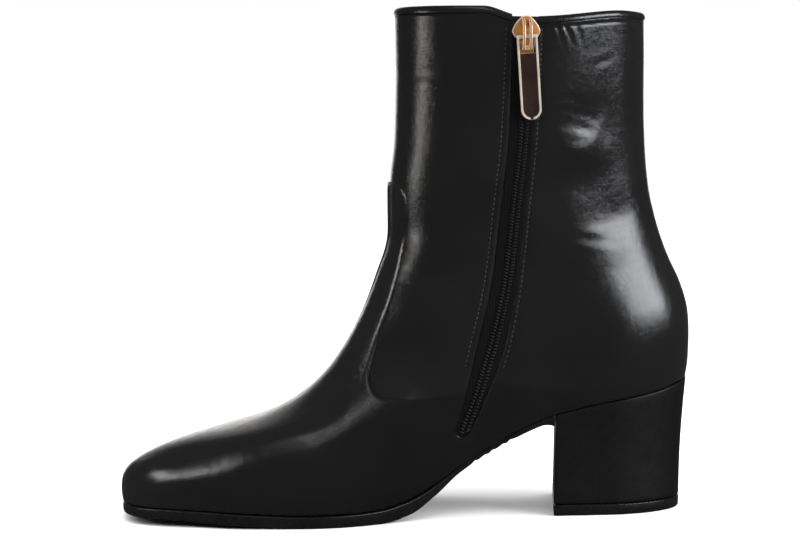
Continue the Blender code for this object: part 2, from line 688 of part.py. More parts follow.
def main():
    grid = upper_grid(len(SECTIONS))
    tree = surface_tree(grid)
    make_outsole()
    make_insole()
    make_heel()
    make_upper(grid)
    make_vamp(grid)
    make_binding()
    make_zip(tree)
    frame = slider_frame(tree)
    make_slider(frame)
    make_tab(frame)
    ORIGIN.location = (CENTRE_X * MM, CENTRE_Y * MM, 0.0)


for old in list(bpy.data.objects):
    bpy.data.objects.remove(old)
ORIGIN = bpy.data.objects.new("boot_origin", None)
bpy.context.scene.collection.objects.link(ORIGIN)
MATERIALS = {
    "leather": new_material("black_leather", (0.012, 0.012, 0.013), 0.32),
    "heel_leather": new_material("heel_cover_leather", (0.014, 0.014, 0.015), 0.4),
    "rubber": new_material("black_rubber", (0.016, 0.015, 0.014), 0.55),
    "insole": new_material("insole_leather", (0.05, 0.045, 0.04), 0.6),
    "zip_cloth": new_material("zip_cloth", (0.008, 0.008, 0.008), 0.85),
    "zip_coil": new_material("zip_coil_nylon", (0.012, 0.012, 0.012), 0.45),
    "gold": new_material("polished_gold", (0.83, 0.52, 0.22), 0.15, 1.0),
}
main()
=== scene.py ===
# %% [markdown]
# # A right ankle boot in black leather
# The solids of this boot are already made: they carry its size, its moving pull tab and its
# collision shapes. This lesson dresses them. Each piece of leather, rubber, cloth and metal that
# the eye sees is modelled again with finer form, given a finish of its own, and hung on the body
# it moves with. All sizes below are millimetres in the boot's own frame: the toe points to -X,
# the inner side of the foot faces -Y and the floor is z = 0.

# %% Load the frame
import json
import math
from collections import namedtuple

import bmesh
import bpy
import numpy as np
from mathutils import Matrix, Vector, noise
from mathutils.bvhtree import BVHTree


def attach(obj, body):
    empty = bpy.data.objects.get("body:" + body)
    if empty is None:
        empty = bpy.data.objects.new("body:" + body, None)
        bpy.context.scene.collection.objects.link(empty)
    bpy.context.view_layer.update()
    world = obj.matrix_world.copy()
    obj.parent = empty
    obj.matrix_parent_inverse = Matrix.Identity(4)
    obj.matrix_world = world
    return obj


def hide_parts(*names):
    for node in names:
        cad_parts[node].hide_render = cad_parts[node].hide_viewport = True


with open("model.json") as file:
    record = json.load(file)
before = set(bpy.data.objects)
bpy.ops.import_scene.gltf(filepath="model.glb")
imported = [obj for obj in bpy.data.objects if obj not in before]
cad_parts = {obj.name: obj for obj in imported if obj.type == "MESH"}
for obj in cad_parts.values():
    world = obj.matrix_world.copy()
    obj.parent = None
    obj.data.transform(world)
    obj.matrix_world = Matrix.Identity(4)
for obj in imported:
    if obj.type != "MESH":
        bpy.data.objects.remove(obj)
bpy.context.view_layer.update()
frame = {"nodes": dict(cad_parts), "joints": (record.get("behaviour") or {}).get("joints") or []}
MM = 0.001
SHIFT = Vector((0.85, 0.4, 0.0)) * MM  # from the boot's own frame to the shared one
MEDIAL, LATERAL = -1, 1
print("nodes:", sorted(frame["nodes"]))

# %% [markdown]
# ## The form of the last
# A shoemaker works over a last, a wooden foot. Here the last is a short table: one row for each
# section from the sole's edge up to the collar, with its two ends in the side view and its half
# widths at four places along the foot. A smooth curve through the rows gives any section in
# between. The table is the one that the solids were made from, so leather and solid agree.

# %% The table of sections
Section = namedtuple(
    "Section", "front_x front_z back_x back_z nose tail square toe ball waist seat ridge"
)
SECTIONS = [Section(*row) for row in (
    (-120.2, 7.6, 119.2, 56.0, 29, 38, 2.6, 25.6, 40.2, 28.5, 26.5, 0),
    (-121.0, 12.0, 119.9, 59.8, 28, 38, 2.5, 26.8, 41.2, 30.0, 28.4, 0),
    (-120.6, 17.0, 120.3, 63.8, 28, 38, 2.4, 27.0, 41.2, 31.2, 30.2, 0),
    (-117.6, 21.8, 120.4, 68.0, 36, 38, 2.2, 27.0, 41.3, 32.0, 31.4, 1),
    (-111.2, 26.2, 120.5, 73.0, 56, 38, 2.0, 27.0, 41.0, 32.4, 32.0, 2.5),
    (-98.4, 30.9, 120.4, 78.5, 66, 38, 2.0, 27.0, 40.6, 32.6, 32.3, 4),
    (-80.4, 34.8, 119.9, 84.5, 66, 38, 2.0, 27.0, 40.2, 32.6, 32.2, 5),
    (-62.9, 39.3, 118.4, 91.0, 64, 38, 2.0, 27.0, 39.8, 32.4, 31.9, 5),
    (-45.4, 48.7, 115.9, 98.0, 62, 39, 2.0, 27.0, 39.0, 32.0, 31.4, 4),
    (-29.9, 64.4, 112.0, 106.0, 58, 40, 2.0, 27.0, 37.5, 31.6, 30.8, 3),
    (-20.8, 81.5, 108.4, 115.0, 54, 42, 2.0, 27.0, 35.4, 31.3, 30.2, 2),
    (-13.7, 99.6, 105.1, 126.0, 52, 44, 2.0, 27.0, 33.4, 31.2, 29.9, 1),
    (-8.4, 118.0, 102.3, 138.0, 50, 46, 2.05, 27.0, 32.0, 31.4, 30.1, 0),
    (-8.5, 139.0, 100.8, 152.0, 50, 48, 2.1, 27.0, 32.2, 32.0, 31.0, 0),
    (-6.6, 158.0, 100.1, 168.0, 50, 48, 2.1, 27.0, 33.0, 33.0, 32.2, 0),
    (-6.1, 184.0, 100.0, 188.0, 50, 48, 2.1, 27.0, 33.9, 34.2, 33.5, 0),
    (-6.3, 209.7, 99.7, 208.0, 50, 48, 2.1, 27.0, 34.4, 34.8, 34.4, 0),
)]
TOP_LEVEL = len(SECTIONS) - 1
SoleStation = namedtuple("SoleStation", "x feather tread reach")
SOLE_LINE = [SoleStation(*row) for row in (
    (-120.2, 7.6, 3.2, 2.0), (-104.0, 7.4, 2.9, 2.2),
    (-85.0, 6.8, 1.8, 2.2), (-66.0, 5.9, 0.9, 2.2),
    (-48.0, 5.2, 0.0, 2.1), (-26.0, 5.4, 0.0, 2.0),
    (-16.0, 6.0, 0.2, 1.9), (-4.0, 8.8, 2.6, 1.7),
    (8.0, 14.8, 10.3, 1.0), (18.0, 21.8, 19.0, 0.2),
    (32.0, 30.6, 27.8, -0.2), (46.0, 38.0, 35.2, -0.3),
    (57.0, 42.4, 39.5, -0.4), (88.0, 49.2, 46.6, 0.0),
    (104.0, 52.2, 49.6, 0.0), (119.2, 56.0, 53.4, 0.0),
)]
TOE_SWING, SWING_POWER = 5.0, 1.5
ARCH_CUT, ARCH_LEVELS, SAG_LEVELS, SAG_POWER = 2.5, 9, 10, 0.8
BALL_X = {MEDIAL: -40.0, LATERAL: -20.0}
TOE_X, WAIST_X, SEAT_X = -104.0, 16.0, 88.0
TOE_FULL, TOE_FULL_X, TOE_FULL_RUN = 1.8, -76.0, 15.0  # fullness behind the toe
print("sections:", len(SECTIONS), "sole stations:", len(SOLE_LINE))


# %% Curves through the table
def smooth_curve(known_x, known_y, x):
    """Values at x of a curve through the known points that never overshoots them."""
    known_x = np.asarray(known_x, float)
    known_y = np.asarray(known_y, float)
    x = np.clip(np.asarray(x, float), known_x[0], known_x[-1])
    step = np.diff(known_x)
    rise = np.diff(known_y) / step
    slope = np.zeros_like(known_y)
    before, after = step[:-1], step[1:]
    heavy, light = 2 * after + before, after + 2 * before
    with np.errstate(divide="ignore", invalid="ignore"):
        mean = (heavy + light) / (heavy / rise[:-1] + light / rise[1:])
    slope[1:-1] = np.where(rise[:-1] * rise[1:] > 0, mean, 0.0)
    slope[0], slope[-1] = rise[0], rise[-1]
    i = np.clip(np.searchsorted(known_x, x, side="right") - 1, 0, len(step) - 1)
    u = (x - known_x[i]) / step[i]
    return (
        known_y[i] * (1 + 2 * u) * (1 - u) ** 2
        + slope[i] * step[i] * u * (1 - u) ** 2
        + known_y[i + 1] * u**2 * (3 - 2 * u)
        - slope[i + 1] * step[i] * u**2 * (1 - u)
    )


def along(table, key, value, x):
    """One column of a table of stations, read at x of another column."""
    return smooth_curve([getattr(r, key) for r in table], [getattr(r, value) for r in table], x)


def feather_z(x):
    """Height of the seam between upper and sole."""
    return along(SOLE_LINE, "x", "feather", x)


print("feather line at the ball:", round(float(feather_z(-40.0)), 2), "mm")


# %% Sections of the last
def section_at(level):
    """The section at a level from 0, the sole's edge, to the last row, the collar."""
    rows = np.arange(len(SECTIONS))
    return Section(*(float(smooth_curve(rows, column, level)) for column in zip(*SECTIONS)))


def rounded_end(distance, length, power):
    """Share of the full width at a distance from a section's end."""
    return (1 - (1 - np.clip(distance / length, 0, 1)) ** power) ** (1 / power)


def half_width(section, side, x, level):
    """Half width of a section on one side, before its ends round off."""
    waist = section.waist + side * ARCH_CUT * max(0.0, 1 - level / ARCH_LEVELS)
    places = (TOE_X, BALL_X[side], WAIST_X, SEAT_X)
    full = TOE_FULL * np.exp(-(((x - TOE_FULL_X) / TOE_FULL_RUN) ** 2))
    return full + smooth_curve(places, (section.toe, section.ball, waist, section.seat), x)


def centre_line(x):
    """The foot's middle line bends to the inner side in front of the ball."""
    share = np.clip((BALL_X[LATERAL] - x) / (BALL_X[LATERAL] - TOE_X), 0, 1)
    return -TOE_SWING * share**SWING_POWER


def section_points(level, side, share):
    """Points of one side of a section; share runs from 0 at its front end to 1 at its back."""
    section = section_at(level)
    x = section.front_x + share * (section.back_x - section.front_x)
    nose = rounded_end(x - section.front_x, section.nose, section.square)
    ends = nose * rounded_end(section.back_x - x, section.tail, 2.0)
    middle = centre_line(x) - section.ridge * (1 - nose)
    y = middle + side * ends * half_width(section, side, x, level)
    sole = SOLE_LINE[0].x + share * (SOLE_LINE[-1].x - SOLE_LINE[0].x)
    chord = SOLE_LINE[0].feather + share * (SOLE_LINE[-1].feather - SOLE_LINE[0].feather)
    sag = max(0.0, 1 - level / SAG_LEVELS) ** SAG_POWER
    z = section.front_z + share * (section.back_z - section.front_z)
    z = z + sag * (feather_z(sole) - chord)
    return np.stack([x, y, z], axis=-1)


collar = section_points(TOP_LEVEL, MEDIAL, np.linspace(0, 1, 50))
print("half width at the collar:", round(float(-collar[:, 1].min()), 1), "mm")

# %% [markdown]
# ## Sheet work
# Leather comes flat. So every skin here starts as a flat grid, which is then rolled up onto a
# stack of loops. A vertex list of our own could do the same, but the grid operator gives clean
# quads and faces that all look the same way. Four more tools treat the sheet as a shoemaker
# would: cut it along a line, split it finer near a seam, press it in or out, and ease it smooth.

# %% Roll up a sheet and close it
MERGE = 1e-4  # mm; points closer than this are joined


def roll_up(loops):
    """A flat grid moved onto a stack of loops; where loops close on themselves, it is joined."""
    loops = np.asarray(loops, float)
    rows, count = loops.shape[0] - 1, loops.shape[1] - 1
    sheet = bmesh.new()
    bmesh.ops.create_grid(sheet, x_segments=count, y_segments=rows, size=1.0)
    for vert in sheet.verts:
        i = round((vert.co.x + 1) / 2 * count)
        j = round((vert.co.y + 1) / 2 * rows)
        vert.co = loops[j, i]
    bmesh.ops.remove_doubles(sheet, verts=sheet.verts, dist=MERGE)
    sheet.normal_update()
    return sheet


def close_ends(sheet):
    """Caps both open ends and turns all faces outwards."""
    rims = [edge for edge in sheet.edges if edge.is_boundary]
    bmesh.ops.holes_fill(sheet, edges=rims, sides=0)
    bmesh.ops.recalc_face_normals(sheet, faces=sheet.faces)


print("rolled sheets join points within", MERGE, "mm")

# %% Ease, press and split
EASE = 0.5  # share of the way to the mean of a point's neighbours


def places(sheet):
    return np.array([vert.co for vert in sheet.verts])


def ease(sheet, verts, times):
    """Smooths some points a number of times."""
    for _ in range(times):
        bmesh.ops.smooth_vert(
            sheet, verts=verts, factor=EASE, use_axis_x=True, use_axis_y=True, use_axis_z=True
        )


def press(sheet, lift):
    """Moves every point along its normal by lift(places), in millimetres."""
    sheet.normal_update()
    normals = np.array([vert.normal for vert in sheet.verts])
    spots = places(sheet)
    moved = spots + normals * lift(spots)[:, None]
    for vert, spot in zip(sheet.verts, moved):
        vert.co = spot
    sheet.normal_update()


def refine(sheet, field, reach):
    """Splits the faces within reach of the line where field is zero, keeping their curve."""
    near = dict(zip(sheet.verts, np.abs(field(places(sheet))) < reach))
    edges = [edge for edge in sheet.edges if near[edge.verts[0]] and near[edge.verts[1]]]
    bmesh.ops.subdivide_edges(
        sheet, edges=edges, cuts=1, use_grid_fill=True, smooth=1.0, smooth_falloff="LINEAR"
    )
    sheet.normal_update()


print("easing moves a point", EASE, "of the way to its neighbours")

# %% Cut along a line
SNAP = 0.22  # a cut this close to a point, as a share of the edge, moves the point instead


def trim(sheet, field):
    """Cuts the sheet where field is zero and drops the side where it is positive."""
    value = dict(zip(sheet.verts, field(places(sheet))))

    def crossings():
        return [edge for edge in sheet.edges if value[edge.verts[0]] * value[edge.verts[1]] < 0]

    slides = {}
    for edge in crossings():
        ends = sorted(edge.verts, key=lambda vert: abs(value[vert]))
        share = value[ends[0]] / (value[ends[0]] - value[ends[1]])
        if share < SNAP and share < slides.get(ends[0], (1.0, None))[0]:
            slides[ends[0]] = (share, ends[1].co.copy())
    for vert, (share, goal) in slides.items():
        vert.co = vert.co.lerp(goal, share)
        value[vert] = 0.0
    line = list(slides)
    for edge in crossings():
        first, second = edge.verts
        share = value[first] / (value[first] - value[second])
        vert = bmesh.utils.edge_split(edge, first, share)[1]
        value[vert] = 0.0
        line.append(vert)
    bmesh.ops.connect_verts(sheet, verts=line)
    waste = [face for face in sheet.faces if sum(value[vert] for vert in face.verts) > 0]
    bmesh.ops.delete(sheet, geom=waste, context="FACES")


def outside(outline, spots):
    """Distance from a closed outline in the side view: positive outside it, negative inside."""
    x, z = spots[:, 0], spots[:, 2]
    corner = np.asarray(outline, float)
    step = np.roll(corner, -1, axis=0) - corner
    away = np.full(len(x), 1e9)
    inside = np.zeros(len(x), bool)
    for (cx, cz), (dx, dz) in zip(corner, step):
        share = np.clip(((x - cx) * dx + (z - cz) * dz) / max(dx * dx + dz * dz, 1e-9), 0, 1)
        away = np.minimum(away, np.hypot(x - cx - share * dx, z - cz - share * dz))
        if dz:
            inside ^= ((cz > z) != (cz + dz > z)) & (x < cx + (z - cz) / dz * dx)
    return np.where(inside, -away, away)


print("a cut that passes a point within", SNAP, "of an edge moves the point")

# %% [markdown]
# ## Finishing a piece
# A finished piece keeps its object at the origin, so that patterns on Object coordinates stay
# where they belong. One function scales the mesh to metres, gives it its finishes and smooth
# shading, hangs it on the body it rides on and hides the solid it stands for.

# %% From sheet to piece
SHARP_ANGLE = 40  # degrees; edges sharper than this stay sharp


def finish_piece(name, sheet, finishes, body="boot", stands_for=()):
    bmesh.ops.scale(sheet, vec=(MM, MM, MM), verts=sheet.verts)
    bmesh.ops.translate(sheet, vec=SHIFT, verts=sheet.verts)
    mesh = bpy.data.meshes.new(name)
    sheet.to_mesh(mesh)
    sheet.free()
    for finish in finishes:
        mesh.materials.append(finish)
    mesh.shade_smooth()
    mesh.set_sharp_from_angle(angle=math.radians(SHARP_ANGLE))
    piece = bpy.data.objects.new(name, mesh)
    bpy.context.scene.collection.objects.link(piece)
    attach(piece, body)
    if stands_for:
        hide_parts(*stands_for)
    print(f"{name}: {len(mesh.polygons)} faces, on {body}")
    return piece


def add_wall(piece, thickness, outwards, inner_finish=0):
    """A live Solidify modifier that turns a sheet into leather of real thickness."""
    wall = piece.modifiers.new("wall", "SOLIDIFY")
    wall.thickness = thickness * MM
    wall.offset = 1.0 if outwards else -1.0
    wall.material_offset = inner_finish


print("edges over", SHARP_ANGLE, "degrees stay sharp")

# %% [markdown]
# ## Finishes shared by several materials
# Leather grain and slow changes of tone turn up on almost every piece, so each is built once as
# a node group and placed in the materials with its own values. Grain is a net of small cells
# with rounded tops; patches are slow clouds that shift colour and gloss, as handling and wax do.

# %% Helpers for nodes
def start_group(name, inputs, outputs):
    group = bpy.data.node_groups.new(name, "ShaderNodeTree")
    for label, value in inputs:
        socket = group.interface.new_socket(label, in_out="INPUT", socket_type="NodeSocketFloat")
        socket.default_value = value
    for label in outputs:
        group.interface.new_socket(label, in_out="OUTPUT", socket_type="NodeSocketFloat")
    source = group.nodes.new("NodeGroupInput")
    target = group.nodes.new("NodeGroupOutput")
    return group, source, target


def add_node(tree, kind, links=(), **values):
    """Adds a node, sets its values by socket name or property, and links its inputs."""
    node = tree.nodes.new(kind)
    for key, value in values.items():
        if hasattr(node, key):
            setattr(node, key, value)
        else:
            node.inputs[key.replace("_", " ").title()].default_value = value
    for target, source in links:
        tree.links.new(source, node.inputs[target])
    return node


print("helpers for nodes: start a group, add a node")


# %% The grain
def make_grain_group():
    group, source, target = start_group(
        "leather_grain", (("Cells per metre", 900.0), ("Wrinkle scale", 160.0)), ("Height",)
    )
    place = add_node(group, "ShaderNodeTexCoord").outputs["Object"]
    warp_links = [("Vector", place), ("Scale", source.outputs[1])]
    warp = add_node(group, "ShaderNodeTexNoise", warp_links, detail=1.5)
    bend = add_node(group, "ShaderNodeVectorMath", [(0, warp.outputs["Color"])], operation="SCALE")
    bend.inputs["Scale"].default_value = 0.0009
    shifted = [(0, place), (1, bend.outputs[0])]
    moved = add_node(group, "ShaderNodeVectorMath", shifted, operation="ADD")
    cells = add_node(
        group, "ShaderNodeTexVoronoi",
        [("Vector", moved.outputs[0]), ("Scale", source.outputs[0])], feature="DISTANCE_TO_EDGE",
    )
    tops = add_node(
        group, "ShaderNodeMapRange", [("Value", cells.outputs["Distance"])],
        interpolation_type="SMOOTHSTEP",
    )
    tops.inputs["From Max"].default_value = 0.5
    swell = add_node(group, "ShaderNodeMath", [(0, warp.outputs[0])], operation="MULTIPLY")
    swell.inputs[1].default_value = 3.0
    parts = [(0, tops.outputs[0]), (1, swell.outputs[0])]
    height = add_node(group, "ShaderNodeMath", parts, operation="ADD")
    group.links.new(height.outputs[0], target.inputs["Height"])
    return group


GRAIN = make_grain_group()
print("node group:", GRAIN.name)


# %% The patches
def make_patch_group():
    group, source, target = start_group(
        "slow_patches", (("Patches per metre", 30.0), ("Low", 0.0), ("High", 1.0)), ("Value",)
    )
    place = add_node(group, "ShaderNodeTexCoord").outputs["Object"]
    cloud_links = [("Vector", place), ("Scale", source.outputs[0])]
    cloud = add_node(group, "ShaderNodeTexNoise", cloud_links, detail=4.0)
    spread = add_node(
        group, "ShaderNodeMapRange",
        [("Value", cloud.outputs[0]), ("To Min", source.outputs[1]), ("To Max", source.outputs[2])],
    )
    spread.inputs["From Min"].default_value = 0.3
    spread.inputs["From Max"].default_value = 0.7
    group.links.new(spread.outputs[0], target.inputs["Value"])
    return group


PATCHES = make_patch_group()
print("node group:", PATCHES.name)

# %% [markdown]
# ## The finishes themselves
# Each finish is one Principled shader. Values that are the same all over are set on its sockets;
# only what changes over the surface is linked: colour and roughness through the patches, and the
# grain through a Bump node. The leather is a waxed calf: almost black, close grained, with a
# clear soft gloss.

# %% Start a finish
def place_group(tree, group, **values):
    node = tree.nodes.new("ShaderNodeGroup")
    node.node_tree = group
    for label, value in values.items():
        node.inputs[label.replace("_", " ").capitalize()].default_value = value
    return node


def start_finish(name):
    finish = bpy.data.materials.new(name)
    finish.use_nodes = True
    return finish.node_tree, finish.node_tree.nodes["Principled BSDF"], finish


def mixed_colour(tree, factor, dark, light):
    mix = tree.nodes.new("ShaderNodeMix")
    mix.data_type = "RGBA"
    mix.inputs["A"].default_value = (*dark, 1.0)
    mix.inputs["B"].default_value = (*light, 1.0)
    tree.links.new(factor, mix.inputs["Factor"])
    return mix.outputs["Result"]


print("helpers for finishes: place a group, start a finish, mix two colours")

# %% Leather, rubber and thread
TONE_PATCHES, GLOSS_PATCHES = 35.0, 280.0  # per metre


def grained_finish(name, dark, light, gloss, cells, depth, specular, coat=0.0):
    """A finish with grain: dark and light colours, two roughness values, cell count and depth."""
    tree, shader, finish = start_finish(name)
    tone = place_group(tree, PATCHES, patches_per_metre=TONE_PATCHES)
    rough = place_group(tree, PATCHES, patches_per_metre=GLOSS_PATCHES, low=gloss[0], high=gloss[1])
    grain = place_group(tree, GRAIN, cells_per_metre=cells, wrinkle_scale=cells / 5)
    tree.links.new(mixed_colour(tree, tone.outputs[0], dark, light), shader.inputs["Base Color"])
    tree.links.new(rough.outputs[0], shader.inputs["Roughness"])
    bump = tree.nodes.new("ShaderNodeBump")
    bump.inputs["Strength"].default_value = 0.5
    bump.inputs["Distance"].default_value = depth * MM
    tree.links.new(grain.outputs["Height"], bump.inputs["Height"])
    tree.links.new(bump.outputs[0], shader.inputs["Normal"])
    shader.inputs["Specular IOR Level"].default_value = specular
    shader.inputs["Coat Weight"].default_value = coat
    shader.inputs["Coat Roughness"].default_value = 0.18
    return finish


LEATHER = grained_finish(
    "waxed_black_calf", (0.0050, 0.0050, 0.0052), (0.0068, 0.0067, 0.0065), (0.15, 0.20),
    cells=1500, depth=0.060, specular=0.40, coat=0.05,
)
HEEL_LEATHER = grained_finish(
    "heel_cover_calf", (0.0030, 0.0030, 0.0031), (0.0042, 0.0041, 0.0040), (0.36, 0.46),
    cells=1300, depth=0.05, specular=0.16,
)
LINING = grained_finish(
    "lining_leather", (0.020, 0.019, 0.018), (0.032, 0.030, 0.028), (0.5, 0.62),
    cells=700, depth=0.09, specular=0.3,
)
SOCK = grained_finish(
    "sock_leather", (0.030, 0.027, 0.024), (0.045, 0.040, 0.036), (0.48, 0.6),
    cells=800, depth=0.08, specular=0.3,
)
RUBBER = grained_finish(
    "sole_rubber", (0.0034, 0.0032, 0.0031), (0.0060, 0.0057, 0.0054), (0.22, 0.32),
    cells=1600, depth=0.04, specular=0.3,
)
THREAD = grained_finish(
    "waxed_thread", (0.010, 0.010, 0.010), (0.017, 0.017, 0.017), (0.36, 0.48),
    cells=4000, depth=0.03, specular=0.5,
)
NYLON = grained_finish(
    "zip_nylon", (0.004, 0.004, 0.004), (0.007, 0.007, 0.007), (0.32, 0.42),
    cells=3000, depth=0.02, specular=0.28,
)
print("grained finishes: calf, heel cover, lining, sock, rubber, thread, nylon")


# %% Gold and its dark panel
METAL_TONES, METAL_GLOSSES = 120.0, 200.0  # patches per metre


def metal_finish(name, dark, light, gloss, metallic):
    tree, shader, finish = start_finish(name)
    tone = place_group(tree, PATCHES, patches_per_metre=METAL_TONES)
    rough = place_group(tree, PATCHES, patches_per_metre=METAL_GLOSSES, low=gloss[0], high=gloss[1])
    tree.links.new(mixed_colour(tree, tone.outputs[0], dark, light), shader.inputs["Base Color"])
    tree.links.new(rough.outputs[0], shader.inputs["Roughness"])
    shader.inputs["Metallic"].default_value = metallic
    return finish


GOLD = metal_finish("warm_gold", (0.46, 0.19, 0.05), (0.56, 0.25, 0.08), (0.24, 0.30), 0.6)
# Pale gold for the slider's bevels and the whole tab frame. The gold is the metal's own; its pale
# tint is a painted highlight that stands in for the bright reflection on the rims.
GOLD_PAINTED_HIGHLIGHT = metal_finish(
    "polished_gold_edge", (0.46, 0.40, 0.32), (0.54, 0.48, 0.40), (0.26, 0.32), 0.4
)
PANEL = metal_finish(
    "smoked_gold", (0.018, 0.009, 0.0065), (0.026, 0.013, 0.009), (0.24, 0.32), 0.3
)
print("metals:", GOLD.name, GOLD_PAINTED_HIGHLIGHT.name, PANEL.name)


# %% The zip's cloth
def make_zip_cloth():
    """A twill: fine ribs that run up the tape, crossed by finer ones."""
    tree, shader, finish = start_finish("zip_twill")
    spot = add_node(tree, "ShaderNodeTexCoord").outputs["Object"]
    ribs = add_node(tree, "ShaderNodeTexWave", [("Vector", spot)], bands_direction="X")
    ribs.inputs["Scale"].default_value = 260.0
    cross = add_node(tree, "ShaderNodeTexWave", [("Vector", spot)], bands_direction="Z")
    cross.inputs["Scale"].default_value = 420.0
    both = [(0, ribs.outputs[1]), (1, cross.outputs[1])]
    weave = add_node(tree, "ShaderNodeMath", both, operation="MULTIPLY")
    colour = mixed_colour(tree, weave.outputs[0], (0.0015, 0.0015, 0.0015), (0.005, 0.005, 0.005))
    tree.links.new(colour, shader.inputs["Base Color"])
    bump = add_node(tree, "ShaderNodeBump", [("Height", weave.outputs[0])], strength=0.6)
    bump.inputs["Distance"].default_value = 0.15 * MM
    tree.links.new(bump.outputs[0], shader.inputs["Normal"])
    shader.inputs["Roughness"].default_value = 0.7
    shader.inputs["Specular IOR Level"].default_value = 0.08
    return finish


ZIP_CLOTH = make_zip_cloth()
print("cloth:", ZIP_CLOTH.name)

# %% [markdown]
# ## Lines on the leather
# The zip's slot and the vamp's seam are lines in the side view. Both come from short tables, and
# both are used more than once: to cut the leather and to roll the leather's edge over; the
# slot's line also lays the stitches beside it.

# %% The zip's line
ZipStation = namedtuple("ZipStation", "z x half_slot")
ZIP_LINE = [ZipStation(*row) for row in (
    (37.6, 18.4, 3.2), (54.4, 24.6, 4.3), (73.0, 30.2, 5.4),
    (99.0, 35.6, 5.0), (130.0, 39.0, 4.8), (160.0, 41.8, 4.7),
    (204.0, 43.2, 4.7), (216.0, 43.3, 4.7),
)]
SLIDER_Z, COLLAR_DIP = 200.0, 4.0
DIP_REACH = {MEDIAL: 17.0, LATERAL: 46.0}  # from the zip to the level collar: in front, behind


def zip_x(z):
    return float(along(ZIP_LINE, "z", "x", z))


def zip_half(z):
    return float(along(ZIP_LINE, "z", "half_slot", z))


def zip_across(z):
    """Unit direction across the zip in the side view, towards the heel."""
    run = np.array([zip_x(z + 0.5) - zip_x(z - 0.5), 1.0])
    run /= np.linalg.norm(run)
    return np.array([run[1], -run[0]])


def collar_dip(x):
    away = x - zip_x(SLIDER_Z)
    reach = DIP_REACH[MEDIAL if away < 0 else LATERAL]
    return COLLAR_DIP * (1 - min(abs(away) / reach, 1) ** 2) ** 2


def collar_z(x):
    top = SECTIONS[-1]
    share = (x - top.front_x) / (top.back_x - top.front_x)
    return top.front_z + share * (top.back_z - top.front_z)


print("collar at the zip:", round(collar_z(zip_x(SLIDER_Z)) - COLLAR_DIP, 1), "mm high")


# %% The slot's outline
def slot_outline(widen):
    """The slot in the side view: round at the bottom, flared at the collar."""
    low, high = ZIP_LINE[0].z, collar_z(zip_x(SLIDER_Z)) - COLLAR_DIP
    sides = {MEDIAL: [], LATERAL: []}
    for z in np.linspace(low, high - 1.0, 60):
        for side, spots in sides.items():
            reach = side * (zip_half(z) + widen)
            spots.append(np.array([zip_x(z), z]) + reach * zip_across(z))
    across, radius = zip_across(low), zip_half(low) + widen
    down = np.array([across[1], -across[0]])
    turn = np.linspace(0, math.pi, 17)[1:-1]
    centre = np.array([zip_x(low), low])
    bottom = [centre + radius * (np.cos(a) * across + np.sin(a) * down) for a in turn]
    for side, spots in sides.items():
        end = zip_x(SLIDER_Z) + side * DIP_REACH[side]
        for x in np.linspace(float(spots[-1][0]), end, 14):
            spots.append(np.array([x, collar_z(x) - collar_dip(x)]))
        spots.append(np.array([end, collar_z(end) + 8.0]))
    return sides[MEDIAL] + sides[LATERAL][::-1] + bottom


SLOT = slot_outline(0.0)


def slot_field(spots, outline=SLOT):
    """Positive in the slot, on the inner side of the boot only."""
    return np.where(spots[:, 1] < 0, -outside(outline, spots), -50.0)


print("slot corners:", len(SLOT))

# %% The vamp's seam
VAMP_SEAM = [
    (-14.0, 140.0), (-6.5, 138.2), (-3.4, 132.5), (-2.6, 126.0), (-4.2, 114.5), (-9.6, 92.5),
    (-16.4, 74.0), (-20.4, 60.0), (-19.2, 54.6), (-14.0, 51.6), (2.0, 51.0),
    (18.0, 53.2), (38.0, 56.0), (54.0, 54.0), (66.0, 50.6), (77.0, 45.0),
]
VAMP_CLEAR = 0.5  # the vamp's lower edge stands this far above the sole
TOE_EDGE_X, PAST_TOE_X, SEAM_STEPS = -119.0, -135.0, 91


def seam_line(steps):
    seam = np.array(VAMP_SEAM)
    run = np.arange(len(seam))
    fine = np.linspace(0, run[-1], steps)
    return np.stack([smooth_curve(run, column, fine) for column in seam.T], axis=1)


def vamp_outline():
    """The seam, then the sole's edge back to the toe."""
    along_sole = np.linspace(VAMP_SEAM[-1][0], TOE_EDGE_X, 70)
    edge = [(x, float(feather_z(x)) + VAMP_CLEAR) for x in along_sole]
    return seam_line(SEAM_STEPS).tolist() + edge + [(PAST_TOE_X, 7.8), (PAST_TOE_X, 141.0)]


VAMP = vamp_outline()


def vamp_field(spots):
    return outside(VAMP, spots)


print("vamp outline corners:", len(VAMP))
